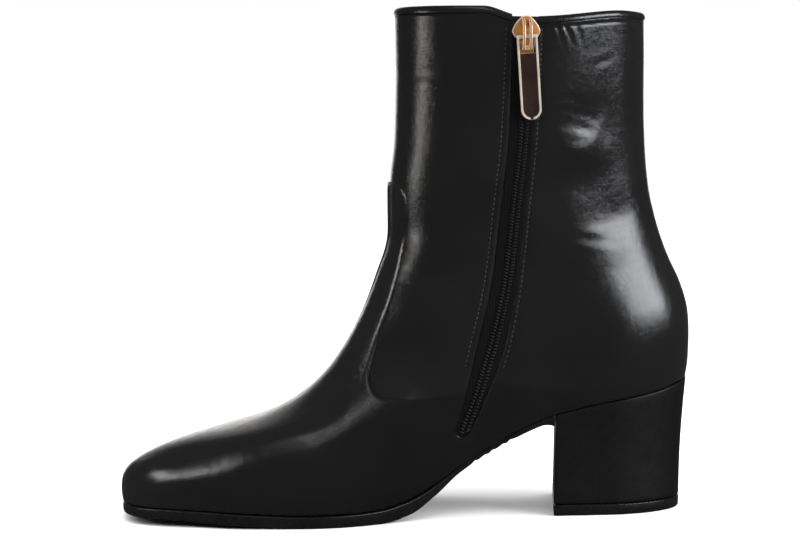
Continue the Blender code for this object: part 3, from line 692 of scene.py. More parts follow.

# %% [markdown]
# ## Creases
# A boot that has been handled shows soft troughs and ridges. They are listed in a table:
# the side of the boot, the middle in the side view, the slope in degrees, half length, width and
# depth, and how far the crease bows. A depth below zero makes a ridge. A second, slow unevenness
# stands for leather that is pulled over a last and is never quite true; it gives the reflections
# their living edge.

# %% The crease table
Crease = namedtuple("Crease", "side x z slope long wide deep bow")
INNER_CREASES = (
    (60.0, 174.5, 6, 6.0, 1.2, 0.13, -0.012),
    (67.5, 172.0, -12, 4.5, 1.0, 0.10, -0.010),
    (62.0, 169.2, 2, 6.5, 1.1, 0.15, -0.014),
    (71.5, 166.5, -22, 4.0, 1.1, 0.12, -0.010),
    (60.5, 164.0, 8, 4.0, 0.9, 0.09, -0.012),
    (67.0, 162.0, -8, 6.0, 1.2, 0.14, -0.014),
    (65.0, 156.8, -2, 6.5, 1.3, 0.10, -0.010),
    (74.5, 160.5, 66, 7.0, 2.4, -0.22, 0.004),
    (72.0, 153.0, -14, 5.0, 1.2, 0.08, 0.0),
    (57.5, 200.5, 112, 4.0, 0.9, 0.22, 0.0),
    (61.5, 199.8, 118, 4.5, 1.0, 0.24, 0.0),
    (66.0, 200.0, 108, 3.5, 1.0, 0.18, 0.0),
    (55.5, 188.0, 128, 3.5, 0.8, -0.16, 0.0),
    (77.0, 189.5, 20, 4.0, 1.2, 0.20, 0.0),
    (51.0, 123.6, -4, 4.5, 0.9, -0.16, 0.0),
    (50.5, 118.0, 4, 4.2, 0.9, -0.14, 0.0),
    (49.5, 112.6, 6, 4.0, 0.9, -0.14, 0.0),
    (48.5, 107.4, 8, 4.0, 0.9, -0.12, 0.0),
    (52.0, 97.0, 36, 8.0, 1.4, 0.20, 0.004),
    (54.5, 91.0, 34, 9.0, 1.5, 0.18, 0.004),
    (62.0, 104.0, 30, 9.0, 2.2, 0.22, 0.0),
    (83.6, 133.0, 92, 6.0, 0.9, -0.08, 0.0),
    (71.0, 116.0, -6, 8.0, 1.7, 0.24, 0.0),
    (83.0, 125.5, 3, 16.0, 7.5, 0.55, 0.0),
    (67.0, 153.0, 3, 12.0, 7.5, -1.0, 0.0),
    (19.0, 90.0, 75, 15.0, 2.6, 0.26, 0.0),
    (12.0, 82.0, 72, 12.0, 2.2, -0.16, 0.0),
    (6.0, 101.0, 18, 12.0, 6.0, 0.50, 0.0),
    (3.0, 184.5, 8, 9.0, 2.6, 0.30, 0.0),
    (-41.0, 26.0, 0, 9.0, 8.0, -1.10, 0.0),
)
OUTER_CREASES = (
    (62.0, 160.0, 12, 14.0, 3.0, 0.35, -0.006),
    (66.0, 150.0, -4, 16.0, 3.4, 0.40, -0.006),
    (30.0, 104.0, 28, 16.0, 3.0, 0.38, 0.004),
    (26.0, 95.0, 24, 14.0, 2.6, 0.26, 0.004),
    (52.0, 190.0, 100, 9.0, 1.6, 0.22, 0.0),
    (95.0, 69.5, -5, 22.0, 2.6, 0.32, 0.0),
)
CREASES = [Crease(MEDIAL, *row) for row in INNER_CREASES]
CREASES += [Crease(LATERAL, *row) for row in OUTER_CREASES]
BANK_HIGH, BANK_AWAY = 0.45, 1.9  # leather pushed up on both sides of a crease, as shares of it
UNEVEN = ((34.0, 0.16), (11.0, 0.045))  # size of the swells, and their height


def creased(spots):
    """Lift of the leather's surface from its creases and its unevenness."""
    lift = np.zeros(len(spots))
    for c in CREASES:
        turn = math.radians(c.slope)
        dx, dz = spots[:, 0] - c.x, spots[:, 2] - c.z
        run = dx * math.cos(turn) + dz * math.sin(turn)
        off = (dz * math.cos(turn) - dx * math.sin(turn) - c.bow * run**2) / c.wide
        fade = np.exp(-((run / c.long) ** 2)) * (spots[:, 1] * c.side > 0)
        banks = BANK_HIGH * np.exp(-((np.abs(off) - BANK_AWAY) ** 2))
        lift -= c.deep * fade * (np.exp(-(off**2)) - banks)
    for size, high in UNEVEN:
        lift += high * np.array([noise.noise(Vector(spot) / size) for spot in spots])
    return lift


print("creases:", len(CREASES))

# %% [markdown]
# ## The upper
# The upper is a sheet of leather wrapped round the last, open at the collar, underneath and along
# the zip. A cube with subdivision would never find these sections, so the flat grid is rolled
# onto rings of the last, eased, split finer round the slot, cut, and then pressed: creases, and a
# lip where the leather is folded in beside the zip with a groove under each row of stitches.

# %% Rings of the last
AROUND, ROWS, LAST_EASED = 288, 136, 6
FINE_SHARES, FINE_LEVELS, SIDE_SHARE = 260, 300, 0.6


def ring(level, count):
    """A closed section in even steps: back, outer side, front, inner side, back."""
    share = (1 - np.cos(np.linspace(0, math.pi, FINE_SHARES))) / 2
    outer = section_points(level, LATERAL, share[::-1])
    inner = section_points(level, MEDIAL, share[1:])
    loop = np.concatenate([outer, inner])
    run = np.concatenate([[0], np.cumsum(np.linalg.norm(np.diff(loop, axis=0), axis=1))])
    even = np.linspace(0, run[-1], count + 1)
    return np.stack([np.interp(even, run, loop[:, k]) for k in range(3)], axis=1)


def even_levels(rows):
    """Levels that lie about evenly up the boot, at its front and at its side alike."""
    fine = np.linspace(0, TOP_LEVEL, FINE_LEVELS)
    front = np.array([section_points(level, MEDIAL, np.array([0.0]))[0] for level in fine])
    side = np.array([section_points(level, MEDIAL, np.array([SIDE_SHARE]))[0] for level in fine])
    step = sum(np.linalg.norm(np.diff(path, axis=0), axis=1) for path in (front, side))
    run = np.concatenate([[0], np.cumsum(step)])
    return np.interp(np.linspace(0, run[-1], rows + 1), run, fine)


print("last:", AROUND, "points round and", ROWS, "rows up")

# %% Its shoulders and toe
SHOULDER_X, SHOULDER_Z = (-119.0, 0.0), (10.0, 84.0)
SHOULDER_FILL, SHOULDER_BLEND, SHOULDER_ROUNDS = 0.8, 16.0, 26


def within(spots):
    """How far places lie inside the shoulder's region, from 0 at its border to 1."""
    gaps = [spots[:, 0] - SHOULDER_X[0], SHOULDER_X[1] - spots[:, 0],
            spots[:, 2] - SHOULDER_Z[0], SHOULDER_Z[1] - spots[:, 2]]
    return np.clip(np.minimum.reduce(gaps) / SHOULDER_BLEND, 0, 1)


def round_shoulder(sheet, rounds):
    """Eases the vamp in shrinking regions, so that no border shows, then fills it out again."""
    for i in range(rounds):
        deep = within(places(sheet)) > i / rounds
        ease(sheet, [v for v, inside in zip(sheet.verts, deep) if inside and not v.is_boundary], 2)
    press(sheet, lambda spots: SHOULDER_FILL * within(spots))


TOE_CLEAR = 8.0  # the toe's middle stays as it is for this far to each side
TOE_FORM = ((-108.0, 22.0, 9.0, 5.0, 1.3), (-84.0, 28.0, 8.0, 5.0, -0.4))  # x, z, run, rise, lift


def toe_form(spots):
    """The toe's shoulders: boxed beside its tip, sloping off behind it."""
    beside = np.clip(np.abs(spots[:, 1] + TOE_SWING) / TOE_CLEAR - 1, 0, 1)
    swells = [high * np.exp(-(((spots[:, 0] - x) / run) ** 2) - ((spots[:, 2] - z) / rise) ** 2)
              for x, z, run, rise, high in TOE_FORM]
    return beside * sum(swells)


last = roll_up([ring(level, AROUND) for level in even_levels(ROWS)])
ease(last, [vert for vert in last.verts if not vert.is_boundary], LAST_EASED)
round_shoulder(last, SHOULDER_ROUNDS)
press(last, toe_form)
last_tree = BVHTree.FromBMesh(last)
print("last:", len(last.verts), "points")

# %% Cut and press the upper
WALL = 2.0
STITCH_ROWS = {MEDIAL: 3.3, LATERAL: 2.0}  # from the slot's front and back edge
SLOT_REACH, FAR = 5.0, 99.0  # finer within this reach; a distance for what is out of sight
LIP, LIP_WIDE, LIP_LEAST = 0.7, 1.5, 0.2
LIP_FOOT, LIP_TOP = (36.0, 16.0), (203.5, 1.5)  # heights where the lip fades, and over what
GROOVE, GROOVE_WIDE, PUFF, PUFF_WIDE = 0.22, 0.55, 0.16, 0.7  # under the stitches, and beside them


def beside_slot(spots):
    """Lift near the slot: the folded lip and the stitch grooves."""
    away = np.where(spots[:, 1] < 0, outside(SLOT, spots), FAR)
    z = spots[:, 2]
    fade = np.clip((z - LIP_FOOT[0]) / LIP_FOOT[1], LIP_LEAST, 1)
    fade = fade * np.clip((LIP_TOP[0] - z) / LIP_TOP[1], 0, 1)
    lift = -LIP * fade * np.clip(1 - away / LIP_WIDE, 0, 1) ** 2
    behind = spots[:, 0] > np.array([zip_x(height) for height in z])
    for side, row in STITCH_ROWS.items():
        here = behind == (side == LATERAL)
        lift -= GROOVE * np.exp(-(((away - row) / GROOVE_WIDE) ** 2)) * here
        lift += PUFF * np.exp(-(((away - row / 2) / PUFF_WIDE) ** 2)) * here
    return lift


upper_sheet = last.copy()
refine(upper_sheet, slot_field, SLOT_REACH)
trim(upper_sheet, slot_field)
press(upper_sheet, lambda spots: creased(spots) + beside_slot(spots))
upper_tree = BVHTree.FromBMesh(upper_sheet)
upper = finish_piece(
    "upper_leather", upper_sheet, [LEATHER, LINING], stands_for=["upper"]
)
add_wall(upper, WALL, outwards=False, inner_finish=1)

# %% [markdown]
# ## The vamp
# The vamp is a second piece of leather that laps over the upper from the toe up the instep and
# back to the heel. It is cut from a copy of the same last, split finer along its seam, lifted
# clear of the leather below, and given its thickness outwards. Its edge is turned under, so it
# rises a little before it rolls down to the seam. Towards the zip the leather is split thinner
# and its edge is tucked in, so that the low, level part of the seam hardly shows.

# %% The vamp's edges
VAMP_GAP, VAMP_LEATHER, VAMP_REACH = 0.3, 0.9, 4.0
WIDE_SLOT = slot_outline(0.3)
ROLL_HIGH, ROLL_AT, ROLL_WIDE, DROP, DROP_WIDE = 0.22, 1.5, 0.9, 0.45, 1.1
LEVEL_FROM, LEVEL_RUN, LEVEL_TOP = -16.0, 10.0, 62.0  # the low, level part of the seam
THIN, THIN_X = 1.05, (-34.0, 10.0)  # thinner behind the corner
TUCK, TUCK_WIDE, TUCK_POWER = 0.14, 3.0, 1.5  # its edge is tucked in


def seam_edge(spots):
    """Lift near the seam: the rolled edge of the turned leather."""
    corner = seam_line(SEAM_STEPS)
    away = np.full(len(spots), FAR)
    for start, end in zip(corner, corner[1:]):
        step = end - start
        share = np.clip(((spots[:, [0, 2]] - start) @ step) / (step @ step), 0, 1)
        gap = spots[:, [0, 2]] - start - share[:, None] * step
        away = np.minimum(away, np.hypot(gap[:, 0], gap[:, 1]))
    roll = ROLL_HIGH * np.exp(-(((away - ROLL_AT) / ROLL_WIDE) ** 2))
    roll -= DROP * np.clip(1 - away / DROP_WIDE, 0, 1) ** 2
    back = np.clip((spots[:, 0] - LEVEL_FROM) / LEVEL_RUN, 0, 1) * (spots[:, 2] < LEVEL_TOP)
    return (1 - back) * roll - back * TUCK * np.clip(1 - away / TUCK_WIDE, 0, 1) ** TUCK_POWER


def thinned(spots):
    """The vamp is split thinner towards the zip, so that its low, level seam hardly shows."""
    share = np.clip((spots[:, 0] - THIN_X[0]) / (THIN_X[1] - THIN_X[0]), 0, 1)
    return THIN * share**2 * (3 - 2 * share) * (spots[:, 1] < 0)


def wide_slot_field(spots):
    return slot_field(spots, WIDE_SLOT)


def slot_edge(spots):
    """The vamp's edge rolls down beside the zip."""
    away = np.where(spots[:, 1] < 0, outside(WIDE_SLOT, spots), FAR)
    return -TUCK * np.clip(1 - away / TUCK_WIDE, 0, 1) ** TUCK_POWER


print("vamp stands", VAMP_GAP + VAMP_LEATHER, "mm proud, and", THIN, "mm less at the zip")

# %% Cut and press the vamp
vamp_sheet = last.copy()
for field in (vamp_field, wide_slot_field):
    refine(vamp_sheet, field, VAMP_REACH)
    trim(vamp_sheet, field)
press(vamp_sheet, lambda spots: VAMP_GAP - thinned(spots) + creased(spots)
      + np.minimum(seam_edge(spots), slot_edge(spots)))
vamp_tree = BVHTree.FromBMesh(vamp_sheet)
vamp = finish_piece("vamp_leather", vamp_sheet, [LEATHER], stands_for=["vamp"])
add_wall(vamp, VAMP_LEATHER, outwards=True)
last.free()

# %% [markdown]
# ## The collar's binding
# A narrow strip of leather is folded over the collar. Its path is the top ring of the last, from
# one side of the zip round to the other, and its section is a small rounded arch. Sweeping a
# curve would do too; rolling up a grid keeps the ends open for a clean cap at the zip.

# %% Sweep the binding
BINDING_HIGH, BINDING_WIDE, BINDING_LAP = 2.9, 3.1, 0.6
BINDING_CLEAR, BINDING_FLAT = 0.8, 0.25  # from the slot; its flat underside


def binding_path():
    top = SECTIONS[-1]
    middle, half = zip_x(SLIDER_Z), zip_half(SLIDER_Z) + BINDING_CLEAR
    length = top.back_x - top.front_x
    front = np.linspace((middle - half - top.front_x) / length, 0, 70)
    around = (1 - np.cos(np.linspace(0, math.pi, 120))) / 2
    back = np.linspace((middle + half - top.front_x) / length, 1, 70)
    back = 1 - (1 - back) ** 1.5 / (1 - back[0]) ** 0.5
    front = front**1.5 / front[0] ** 0.5
    path = np.concatenate([
        section_points(TOP_LEVEL, MEDIAL, front),
        section_points(TOP_LEVEL, LATERAL, around[1:-1]),
        section_points(TOP_LEVEL, MEDIAL, back[::-1]),
    ])
    dip = [collar_dip(x) if y < 0 else 0.0 for x, y in path[:, :2]]
    path[:, 2] += VAMP_GAP - BINDING_LAP - np.array(dip)
    return path


def binding_loops():
    path = binding_path()
    run = np.gradient(path, axis=0)
    out = np.stack([-run[:, 1], run[:, 0], 0 * run[:, 0]], axis=1)
    out /= np.linalg.norm(out, axis=1, keepdims=True)
    turn = np.linspace(-0.5, 1.5, 17) * math.pi
    bulge = np.cos(turn) * BINDING_WIDE / 2
    arch = np.clip(np.sin(turn), -BINDING_FLAT, 1) + BINDING_FLAT
    rise = arch / (1 + BINDING_FLAT) * BINDING_HIGH
    loops = []
    for spot, side in zip(path - out * WALL / 2, out):
        loops.append([spot + side * b + np.array([0, 0, r]) for b, r in zip(bulge, rise)])
    return loops


binding_sheet = roll_up(binding_loops())
close_ends(binding_sheet)
finish_piece(
    "collar_binding_strip", binding_sheet, [LEATHER], stands_for=["collar_binding"]
)

# %% [markdown]
# ## Sole and insole
# The sole is a plank that follows the footprint: flat under the ball, turned up at the toe and
# rising through the waist to the heel, where small ribs cross its underside. It is rolled up from
# four-cornered sections, and a bevel rounds its edge all the way round, as a trimming knife would.

# %% Sections of a plank
BREAST_X, BREAST_SLANT, SLANT_RUN = 57.9, 9.6, 22.0
SOLE_GAP, UNDERCUT, SOLE_ROUND = 0.3, 0.8, 0.6
RIB_START, RIB_PITCH, RIB_COUNT, RIB_DEEP = 22.4, 3.8, 5, 0.7
COVE_DEEP, COVE_RUN = 2.2, 6.0  # the sole turns down a little where it meets the heel


def footprint(x, reach):
    """Inner and outer y of the sole's edge at x, let out by reach all round."""
    section = SECTIONS[0]
    x = np.asarray(x, float)
    ends = rounded_end(x - section.front_x + reach, section.nose + reach, section.square)
    ends = ends * rounded_end(section.back_x + reach - x, section.tail + reach, 2.0)
    wide = {side: half_width(section, side, x, 0) + reach for side in (MEDIAL, LATERAL)}
    return [centre_line(x) + side * ends * wide[side] for side in (MEDIAL, LATERAL)]


def plank_loops(stations, top_of, low_of, reach, undercut, skew, cove):
    """Four-cornered sections of a plank along the footprint, each closed on itself."""
    loops = []
    for x, wide, shift, drop in zip(stations, reach, skew, cove):
        spots = []
        for side, place in ((0, x), (1, x + shift)):
            for height, let_out in ((top_of(place), wide), (low_of(place) - drop, wide - undercut)):
                spots.append((place, float(footprint(place, let_out)[side]), float(height)))
        loops.append([spots[0], spots[1], spots[3], spots[2], spots[0]])
    return loops


def tread_z(x):
    phase = np.clip((x - RIB_START) / RIB_PITCH, 0, RIB_COUNT)
    ribs = RIB_DEEP * (1 - np.cos(2 * math.pi * phase)) / 2
    return along(SOLE_LINE, "x", "tread", x) + ribs


def sole_stations(start, end, count):
    """Places along the sole, close together at the toe."""
    share = np.linspace(0, 1, count)
    crowded = (1 - np.cos(share * math.pi / 2)) ** 1.6
    return start + (end - start) * (0.55 * share + 0.45 * crowded)


def round_edges(sheet, width, angle=50, finish=-1):
    """Bevels the edges that are sharper than an angle; the bevel can have a finish of its own."""
    limit = math.radians(angle)
    inner = [edge for edge in sheet.edges if len(edge.link_faces) == 2]
    sharp = [edge for edge in inner if edge.calc_face_angle() > limit]
    bmesh.ops.bevel(
        sheet, geom=sharp, offset=width, segments=3, profile=0.5, affect="EDGES",
        material=finish, clamp_overlap=True,
    )


print("ribs:", RIB_COUNT, "of", RIB_PITCH, "mm")

# %% The outsole
tip = SECTIONS[0].front_x - SOLE_LINE[0].reach + UNDERCUT + 0.05
stations = sole_stations(tip, BREAST_X, 190)
reach = along(SOLE_LINE, "x", "reach", stations)
skew = BREAST_SLANT * np.clip(1 - (BREAST_X - stations) / SLANT_RUN, 0, 1)
cove = COVE_DEEP * np.clip(1 - (BREAST_X - stations) / COVE_RUN, 0, 1) ** 2
sole_sheet = roll_up(
    plank_loops(stations, lambda x: feather_z(x) - SOLE_GAP, tread_z, reach, UNDERCUT, skew, cove)
)
close_ends(sole_sheet)
round_edges(sole_sheet, SOLE_ROUND)
outsole = finish_piece("outsole_rubber", sole_sheet, [RUBBER], stands_for=["outsole"])

# %% The insole
INSOLE_THICK, INSOLE_INSET, INSOLE_SHORT, INSOLE_ROUND = 2.5, -2.8, 3.0, 0.8
ends = SECTIONS[0].front_x + INSOLE_SHORT, SECTIONS[0].back_x - INSOLE_SHORT
stations = np.linspace(*ends, 110)
inset = np.full(len(stations), INSOLE_INSET)
insole_sheet = roll_up(plank_loops(
    stations, lambda x: feather_z(x) + INSOLE_THICK, feather_z, inset, 0.0, 0 * inset, 0 * inset
))
close_ends(insole_sheet)
round_edges(insole_sheet, INSOLE_ROUND)
finish_piece("insole_sock", insole_sheet, [SOCK], stands_for=["insole"])

# %% [markdown]
# ## The heel
# The heel is a block covered in the same calf, with a rubber top piece under it. Seen from below
# it is a D whose flat front face stands a little askew. The D narrows to the floor and its back
# is slightly hollow. Loops of that D are rolled up, capped, and bevelled along the front corners.

# %% The heel's sections
TOP_PIECE, HEEL_BACK, HEEL_SIDE, HEEL_HOLLOW, HEEL_FORWARD = 4.6, 2.8, 0.6, 0.8, 0.8
HEEL_CORNER, HEEL_PROUD, HEEL_ROUND, TOP_PIECE_ROUND = 58.2, 0.3, 0.7, 0.35


def heel_loop(level, z_of, shrink=1.0):
    """The heel's D at a level from 0, the floor, to 1, the seat, closed along its front face."""
    hollow = HEEL_HOLLOW * math.sin(math.pi * level)
    back = HEEL_BACK * (1 - level) + hollow
    narrow = 1 - (HEEL_SIDE * (1 - level) + 0.5 * hollow) / SECTIONS[0].seat
    seat_back = SECTIONS[0].back_x + HEEL_PROUD
    share = np.sin(np.linspace(0, math.pi / 2, 44))
    sides = []
    for side, corner in enumerate((HEEL_CORNER, HEEL_CORNER + BREAST_SLANT)):
        seat_x = corner + (seat_back - corner) * share
        y = footprint(seat_x, HEEL_PROUD)[side] * narrow
        x = seat_x - back * share - HEEL_FORWARD * (1 - level) * (1 - share)
        sides.append(np.stack([x, y, z_of(seat_x)], axis=1))
    loop = np.concatenate([sides[0], sides[1][-2::-1], sides[0][:1]])
    middle = np.array([(HEEL_CORNER + SECTIONS[0].back_x) / 2, 0.0])
    loop[:, :2] = middle + (loop[:, :2] - middle) * shrink
    return loop


def block_height(level, low, lowest):
    share = (level - lowest) / (1 - lowest)
    return lambda x: low + share * (feather_z(x) - SOLE_GAP - low)


lowest = TOP_PIECE / float(feather_z(HEEL_CORNER))
print("heel's front edge:", round(float(feather_z(HEEL_CORNER)), 1), "mm high")

# %% Heel block and top piece
block = roll_up([
    heel_loop(level, block_height(level, TOP_PIECE + SOLE_GAP, lowest))
    for level in np.linspace(lowest, 1, 22)
])
close_ends(block)
round_edges(block, HEEL_ROUND)
finish_piece("heel_block_cover", block, [HEEL_LEATHER], stands_for=["heel_block"])
steps = ((TOP_PIECE, 1.0), (2.4, 1.0), (0.7, 0.999), (0.0, 0.985))
lift_sheet = roll_up([
    heel_loop(0.0, lambda x, z=z: np.full_like(x, z), shrink) for z, shrink in steps
])
close_ends(lift_sheet)
round_edges(lift_sheet, TOP_PIECE_ROUND)
finish_piece("heel_top_rubber", lift_sheet, [RUBBER], stands_for=["heel_top_piece"])

# %% [markdown]
# ## The zip
# Behind the slot lies a woven tape. It is rolled up from a flat grid that follows the zip's line
# a little below the leather, and it is wide enough to vanish under the leather's edges. On it
# sit two rows of nylon loops that mesh along the middle. A single loop is a stretched sphere of a
# few dozen faces, set down again and again along the zip's line, the rows half a step apart.

# %% The tape
RAY_START = -100.0  # well outside the boot's inner side


def inner_spot(tree, x, z):
    """The place and outward direction on the boot's inner side at x, z of the side view."""
    place, normal, _, _ = tree.ray_cast(Vector((x, RAY_START, z)), Vector((0, 1, 0)))
    return place, normal


TAPE_DEEP, TAPE_UNDER, TAPE_LOW, TAPE_THICK = -1.15, 0.5, 33.6, 0.7
TAPE_BLUNT, TAPE_SHORT = 0.3, 0.5  # its lower end is not a point; it stops under the collar


def make_tape():
    rows = []
    top = collar_z(zip_x(SLIDER_Z)) - COLLAR_DIP - TAPE_SHORT
    for z in np.linspace(TAPE_LOW, top, 90):
        below = max(0.0, (ZIP_LINE[0].z - z) / (ZIP_LINE[0].z - TAPE_LOW + TAPE_BLUNT))
        round_end = math.sqrt(1 - below**2)
        row = []
        for share in np.linspace(1, -1, 13):
            reach = share * (zip_half(z) + TAPE_UNDER) * round_end
            x, height = np.array([zip_x(z), z]) + reach * zip_across(z)
            place, normal = inner_spot(last_tree, x, height)
            row.append(place + normal * TAPE_DEEP)
        rows.append(row)
    return roll_up(rows)


tape = finish_piece(
    "zip_tape_cloth", make_tape(), [ZIP_CLOTH], stands_for=["zip_tape"]
)
add_wall(tape, TAPE_THICK, outwards=False)

# %% The teeth
TOOTH_PITCH, TOOTH_SIZE, TOOTH_DEEP, ROW_APART = 1.32, (1.05, 0.46, 0.5), -0.25, 2.3
TOOTH_LOW, TOOTH_LEAN, UNDER_SLIDER = 36.6, 0.22, 6.0
COIL_SHIFT = ((37.0, 0.7), (66.0, 0.3), (100.0, 1.0), (205.0, 1.2))  # towards the heel


def set_down(sheet, place, along_dir, out, size, u_segments=8, v_segments=6):
    """A stretched sphere at a place: size along a direction, across it, and outwards."""
    first = Vector(along_dir).normalized()
    out = (Vector(out) - first * first.dot(out)).normalized()
    turn = Matrix((first, out.cross(first), out)).transposed().to_4x4()
    stretch = Matrix.Diagonal((*size, 1.0))
    matrix = Matrix.Translation(place) @ turn @ stretch
    bmesh.ops.create_uvsphere(
        sheet, u_segments=u_segments, v_segments=v_segments, radius=1.0, matrix=matrix
    )


def make_teeth():
    sheet = bmesh.new()
    known_z, known_shift = zip(*COIL_SHIFT)
    top = SLIDER_Z - UNDER_SLIDER
    for row, side in enumerate((-1, 1)):
        for z in np.arange(TOOTH_LOW + row * TOOTH_PITCH / 2, top, TOOTH_PITCH):
            across = zip_across(z)
            shift = float(np.interp(z, known_z, known_shift)) + side * ROW_APART / 2
            x, height = np.array([zip_x(z), z]) + shift * across
            place, normal = inner_spot(last_tree, x, height)
            lean = Vector((across[0], 0.0, across[1] + side * TOOTH_LEAN))
            set_down(sheet, place + normal * TOOTH_DEEP, lean, normal, TOOTH_SIZE)
    return sheet


finish_piece("zip_teeth", make_teeth(), [NYLON], stands_for=["zip_coil"])

# %% [markdown]
# ## Stitches
# One row of stitches runs down each side of the slot. Each stitch is again a small stretched
# sphere, bedded in its groove and leaning a little, as lockstitch does. They are laid
# on the finished leather by casting a ray at it, so they sit right from any side.

# %% Rows beside the zip
STITCH_PITCH, STITCH_SIZE = 2.0, (0.76, 0.30, 0.26)
STITCH_LIFT, STITCH_LEAN, STITCH_SPAN = 0.08, 0.12, 0.5
STITCH_LOW, STITCH_TOP = {MEDIAL: 62.0, LATERAL: 66.0}, 203.5


def on_leather(x, z):
    """The place on the vamp where it covers the upper, or else on the upper."""
    place, normal = inner_spot(vamp_tree, x, z)
    return (place, normal) if place else inner_spot(upper_tree, x, z)


def make_zip_stitches():
    sheet = bmesh.new()
    for side, low in STITCH_LOW.items():
        for z in np.arange(low, STITCH_TOP, STITCH_PITCH):
            reach = zip_half(z) + STITCH_ROWS[side]
            spots = []
            for height in (z - STITCH_SPAN, z + STITCH_SPAN):
                x, level = np.array([zip_x(height), height]) + side * reach * zip_across(height)
                spots.append(on_leather(x, level))
            (start, normal), (end, _) = spots
            lean = (end - start) + Vector((STITCH_LEAN, 0, 0))
            place = (start + end) / 2 + normal * STITCH_LIFT
            set_down(sheet, place, lean, normal, STITCH_SIZE, u_segments=6, v_segments=5)
    return sheet


finish_piece("zip_stitches", make_zip_stitches(), [THREAD])

# %% [markdown]
# ## Slider and pull tab
# The slider is a stamped plate with rounded shoulders and a bridge of two bars. The pull tab is a
# flat frame: a cross bar that turns under the bridge, a window, and a plate with a raised rim
# round a sunk panel. Both are built flat in the slider's own frame, with u across, v up and n
# outwards, and then moved onto the boot. The tab rides on its own body, so it swings.

# %% The slider's frame
SLIDER_PLACE = Vector((43.146, -35.189, 199.978))
SLIDER_OUT = Vector((0.0022, -0.99959, -0.02872)).normalized()
PIVOT = Vector((0.0, -0.8, 2.6))
TAB_TILT, TAB_LEAN = math.radians(4.5), math.radians(2.5)
slider_up = (Vector((0, 0, 1)) - SLIDER_OUT * SLIDER_OUT.z).normalized()
SLIDER_FRAME = Matrix((slider_up.cross(SLIDER_OUT), slider_up, SLIDER_OUT)).transposed().to_4x4()
SLIDER_FRAME.translation = SLIDER_PLACE
TAB_FRAME = SLIDER_FRAME @ Matrix.Translation(PIVOT)
TAB_FRAME = TAB_FRAME @ Matrix.Rotation(TAB_TILT, 4, "Z") @ Matrix.Rotation(TAB_LEAN, 4, "X")
hinge = frame["joints"][0]
gap = (TAB_FRAME.translation * MM + SHIFT - Vector(hinge["pos_m"])).length
print(f"pivot is {gap / MM:.3f} mm from the hinge {hinge['name']}")


# %% The slider
def extrude_plate(sheet, outline, low, high, axis=2):
    """Fills an outline of two coordinates and runs it from low to high along the third axis."""
    corners = []
    for first, second in outline:
        spot = [first, second]
        spot.insert(axis, low)
        corners.append(sheet.verts.new(spot))
    face = sheet.faces.new(corners)
    run = bmesh.ops.extrude_face_region(sheet, geom=[face])
    moved = [item for item in run["geom"] if isinstance(item, bmesh.types.BMVert)]
    way = Vector([high - low if i == axis else 0.0 for i in range(3)])
    bmesh.ops.translate(sheet, vec=way, verts=moved)
    bmesh.ops.recalc_face_normals(sheet, faces=sheet.faces)


PLATE, SLIDER_ROUND = 1.4, 0.3
CROWN = (  # v and half width
    (7.6, 0.9), (7.1, 2.0), (5.6, 3.5), (3.5, 5.05), (1.9, 5.75), (0.9, 5.75), (-0.6, 5.0),
    (-1.8, 3.8), (-7.2, 3.1), (-7.8, 2.6),
)
BAR = (  # v and n
    (6.6, 1.2), (6.4, 2.2), (5.2, 3.7), (2.8, 4.7), (-3.8, 4.9), (-5.4, 4.5), (-6.3, 3.4),
    (-6.3, 1.2), (-4.6, 1.2), (-4.6, 3.5), (-4.0, 3.8), (2.6, 3.7), (3.2, 3.2), (3.4, 1.2),
)
BAR_IN, BAR_OUT = 0.75, 2.0
TIE_V, TIE_TOP = (-6.2, -4.5), 4.2  # the tie that joins both bars


def make_slider():
    sheet = bmesh.new()
    right = [(half, v) for v, half in CROWN]
    extrude_plate(sheet, right + [(-half, v) for half, v in right[::-1]], 0.0, PLATE)
    for side in (-1, 1):
        extrude_plate(sheet, BAR, side * BAR_IN, side * BAR_OUT, axis=0)
    low, high = TIE_V
    tie = [(-BAR_IN, low), (BAR_IN, low), (BAR_IN, high), (-BAR_IN, high)]
    extrude_plate(sheet, tie, PLATE, TIE_TOP)
    # The bevels take the pale gold, a painted highlight along the slider's edges.
    round_edges(sheet, SLIDER_ROUND, angle=40, finish=1)
    bmesh.ops.transform(sheet, matrix=SLIDER_FRAME, verts=sheet.verts)
    return sheet


finish_piece(
    "zip_slider_plate", make_slider(), [GOLD, GOLD_PAINTED_HIGHLIGHT], stands_for=["zip_slider"]
)

# %% The pull tab
TAB_HALF, TAB_TOP, TAB_END, TAB_THICK = 4.2, 0.65, -33.85, 1.3
RIM, WINDOW_END, SUNK, SUNK_SLOPE, TAB_ROUND = 0.8, -6.8, 0.35, 0.08, 0.22


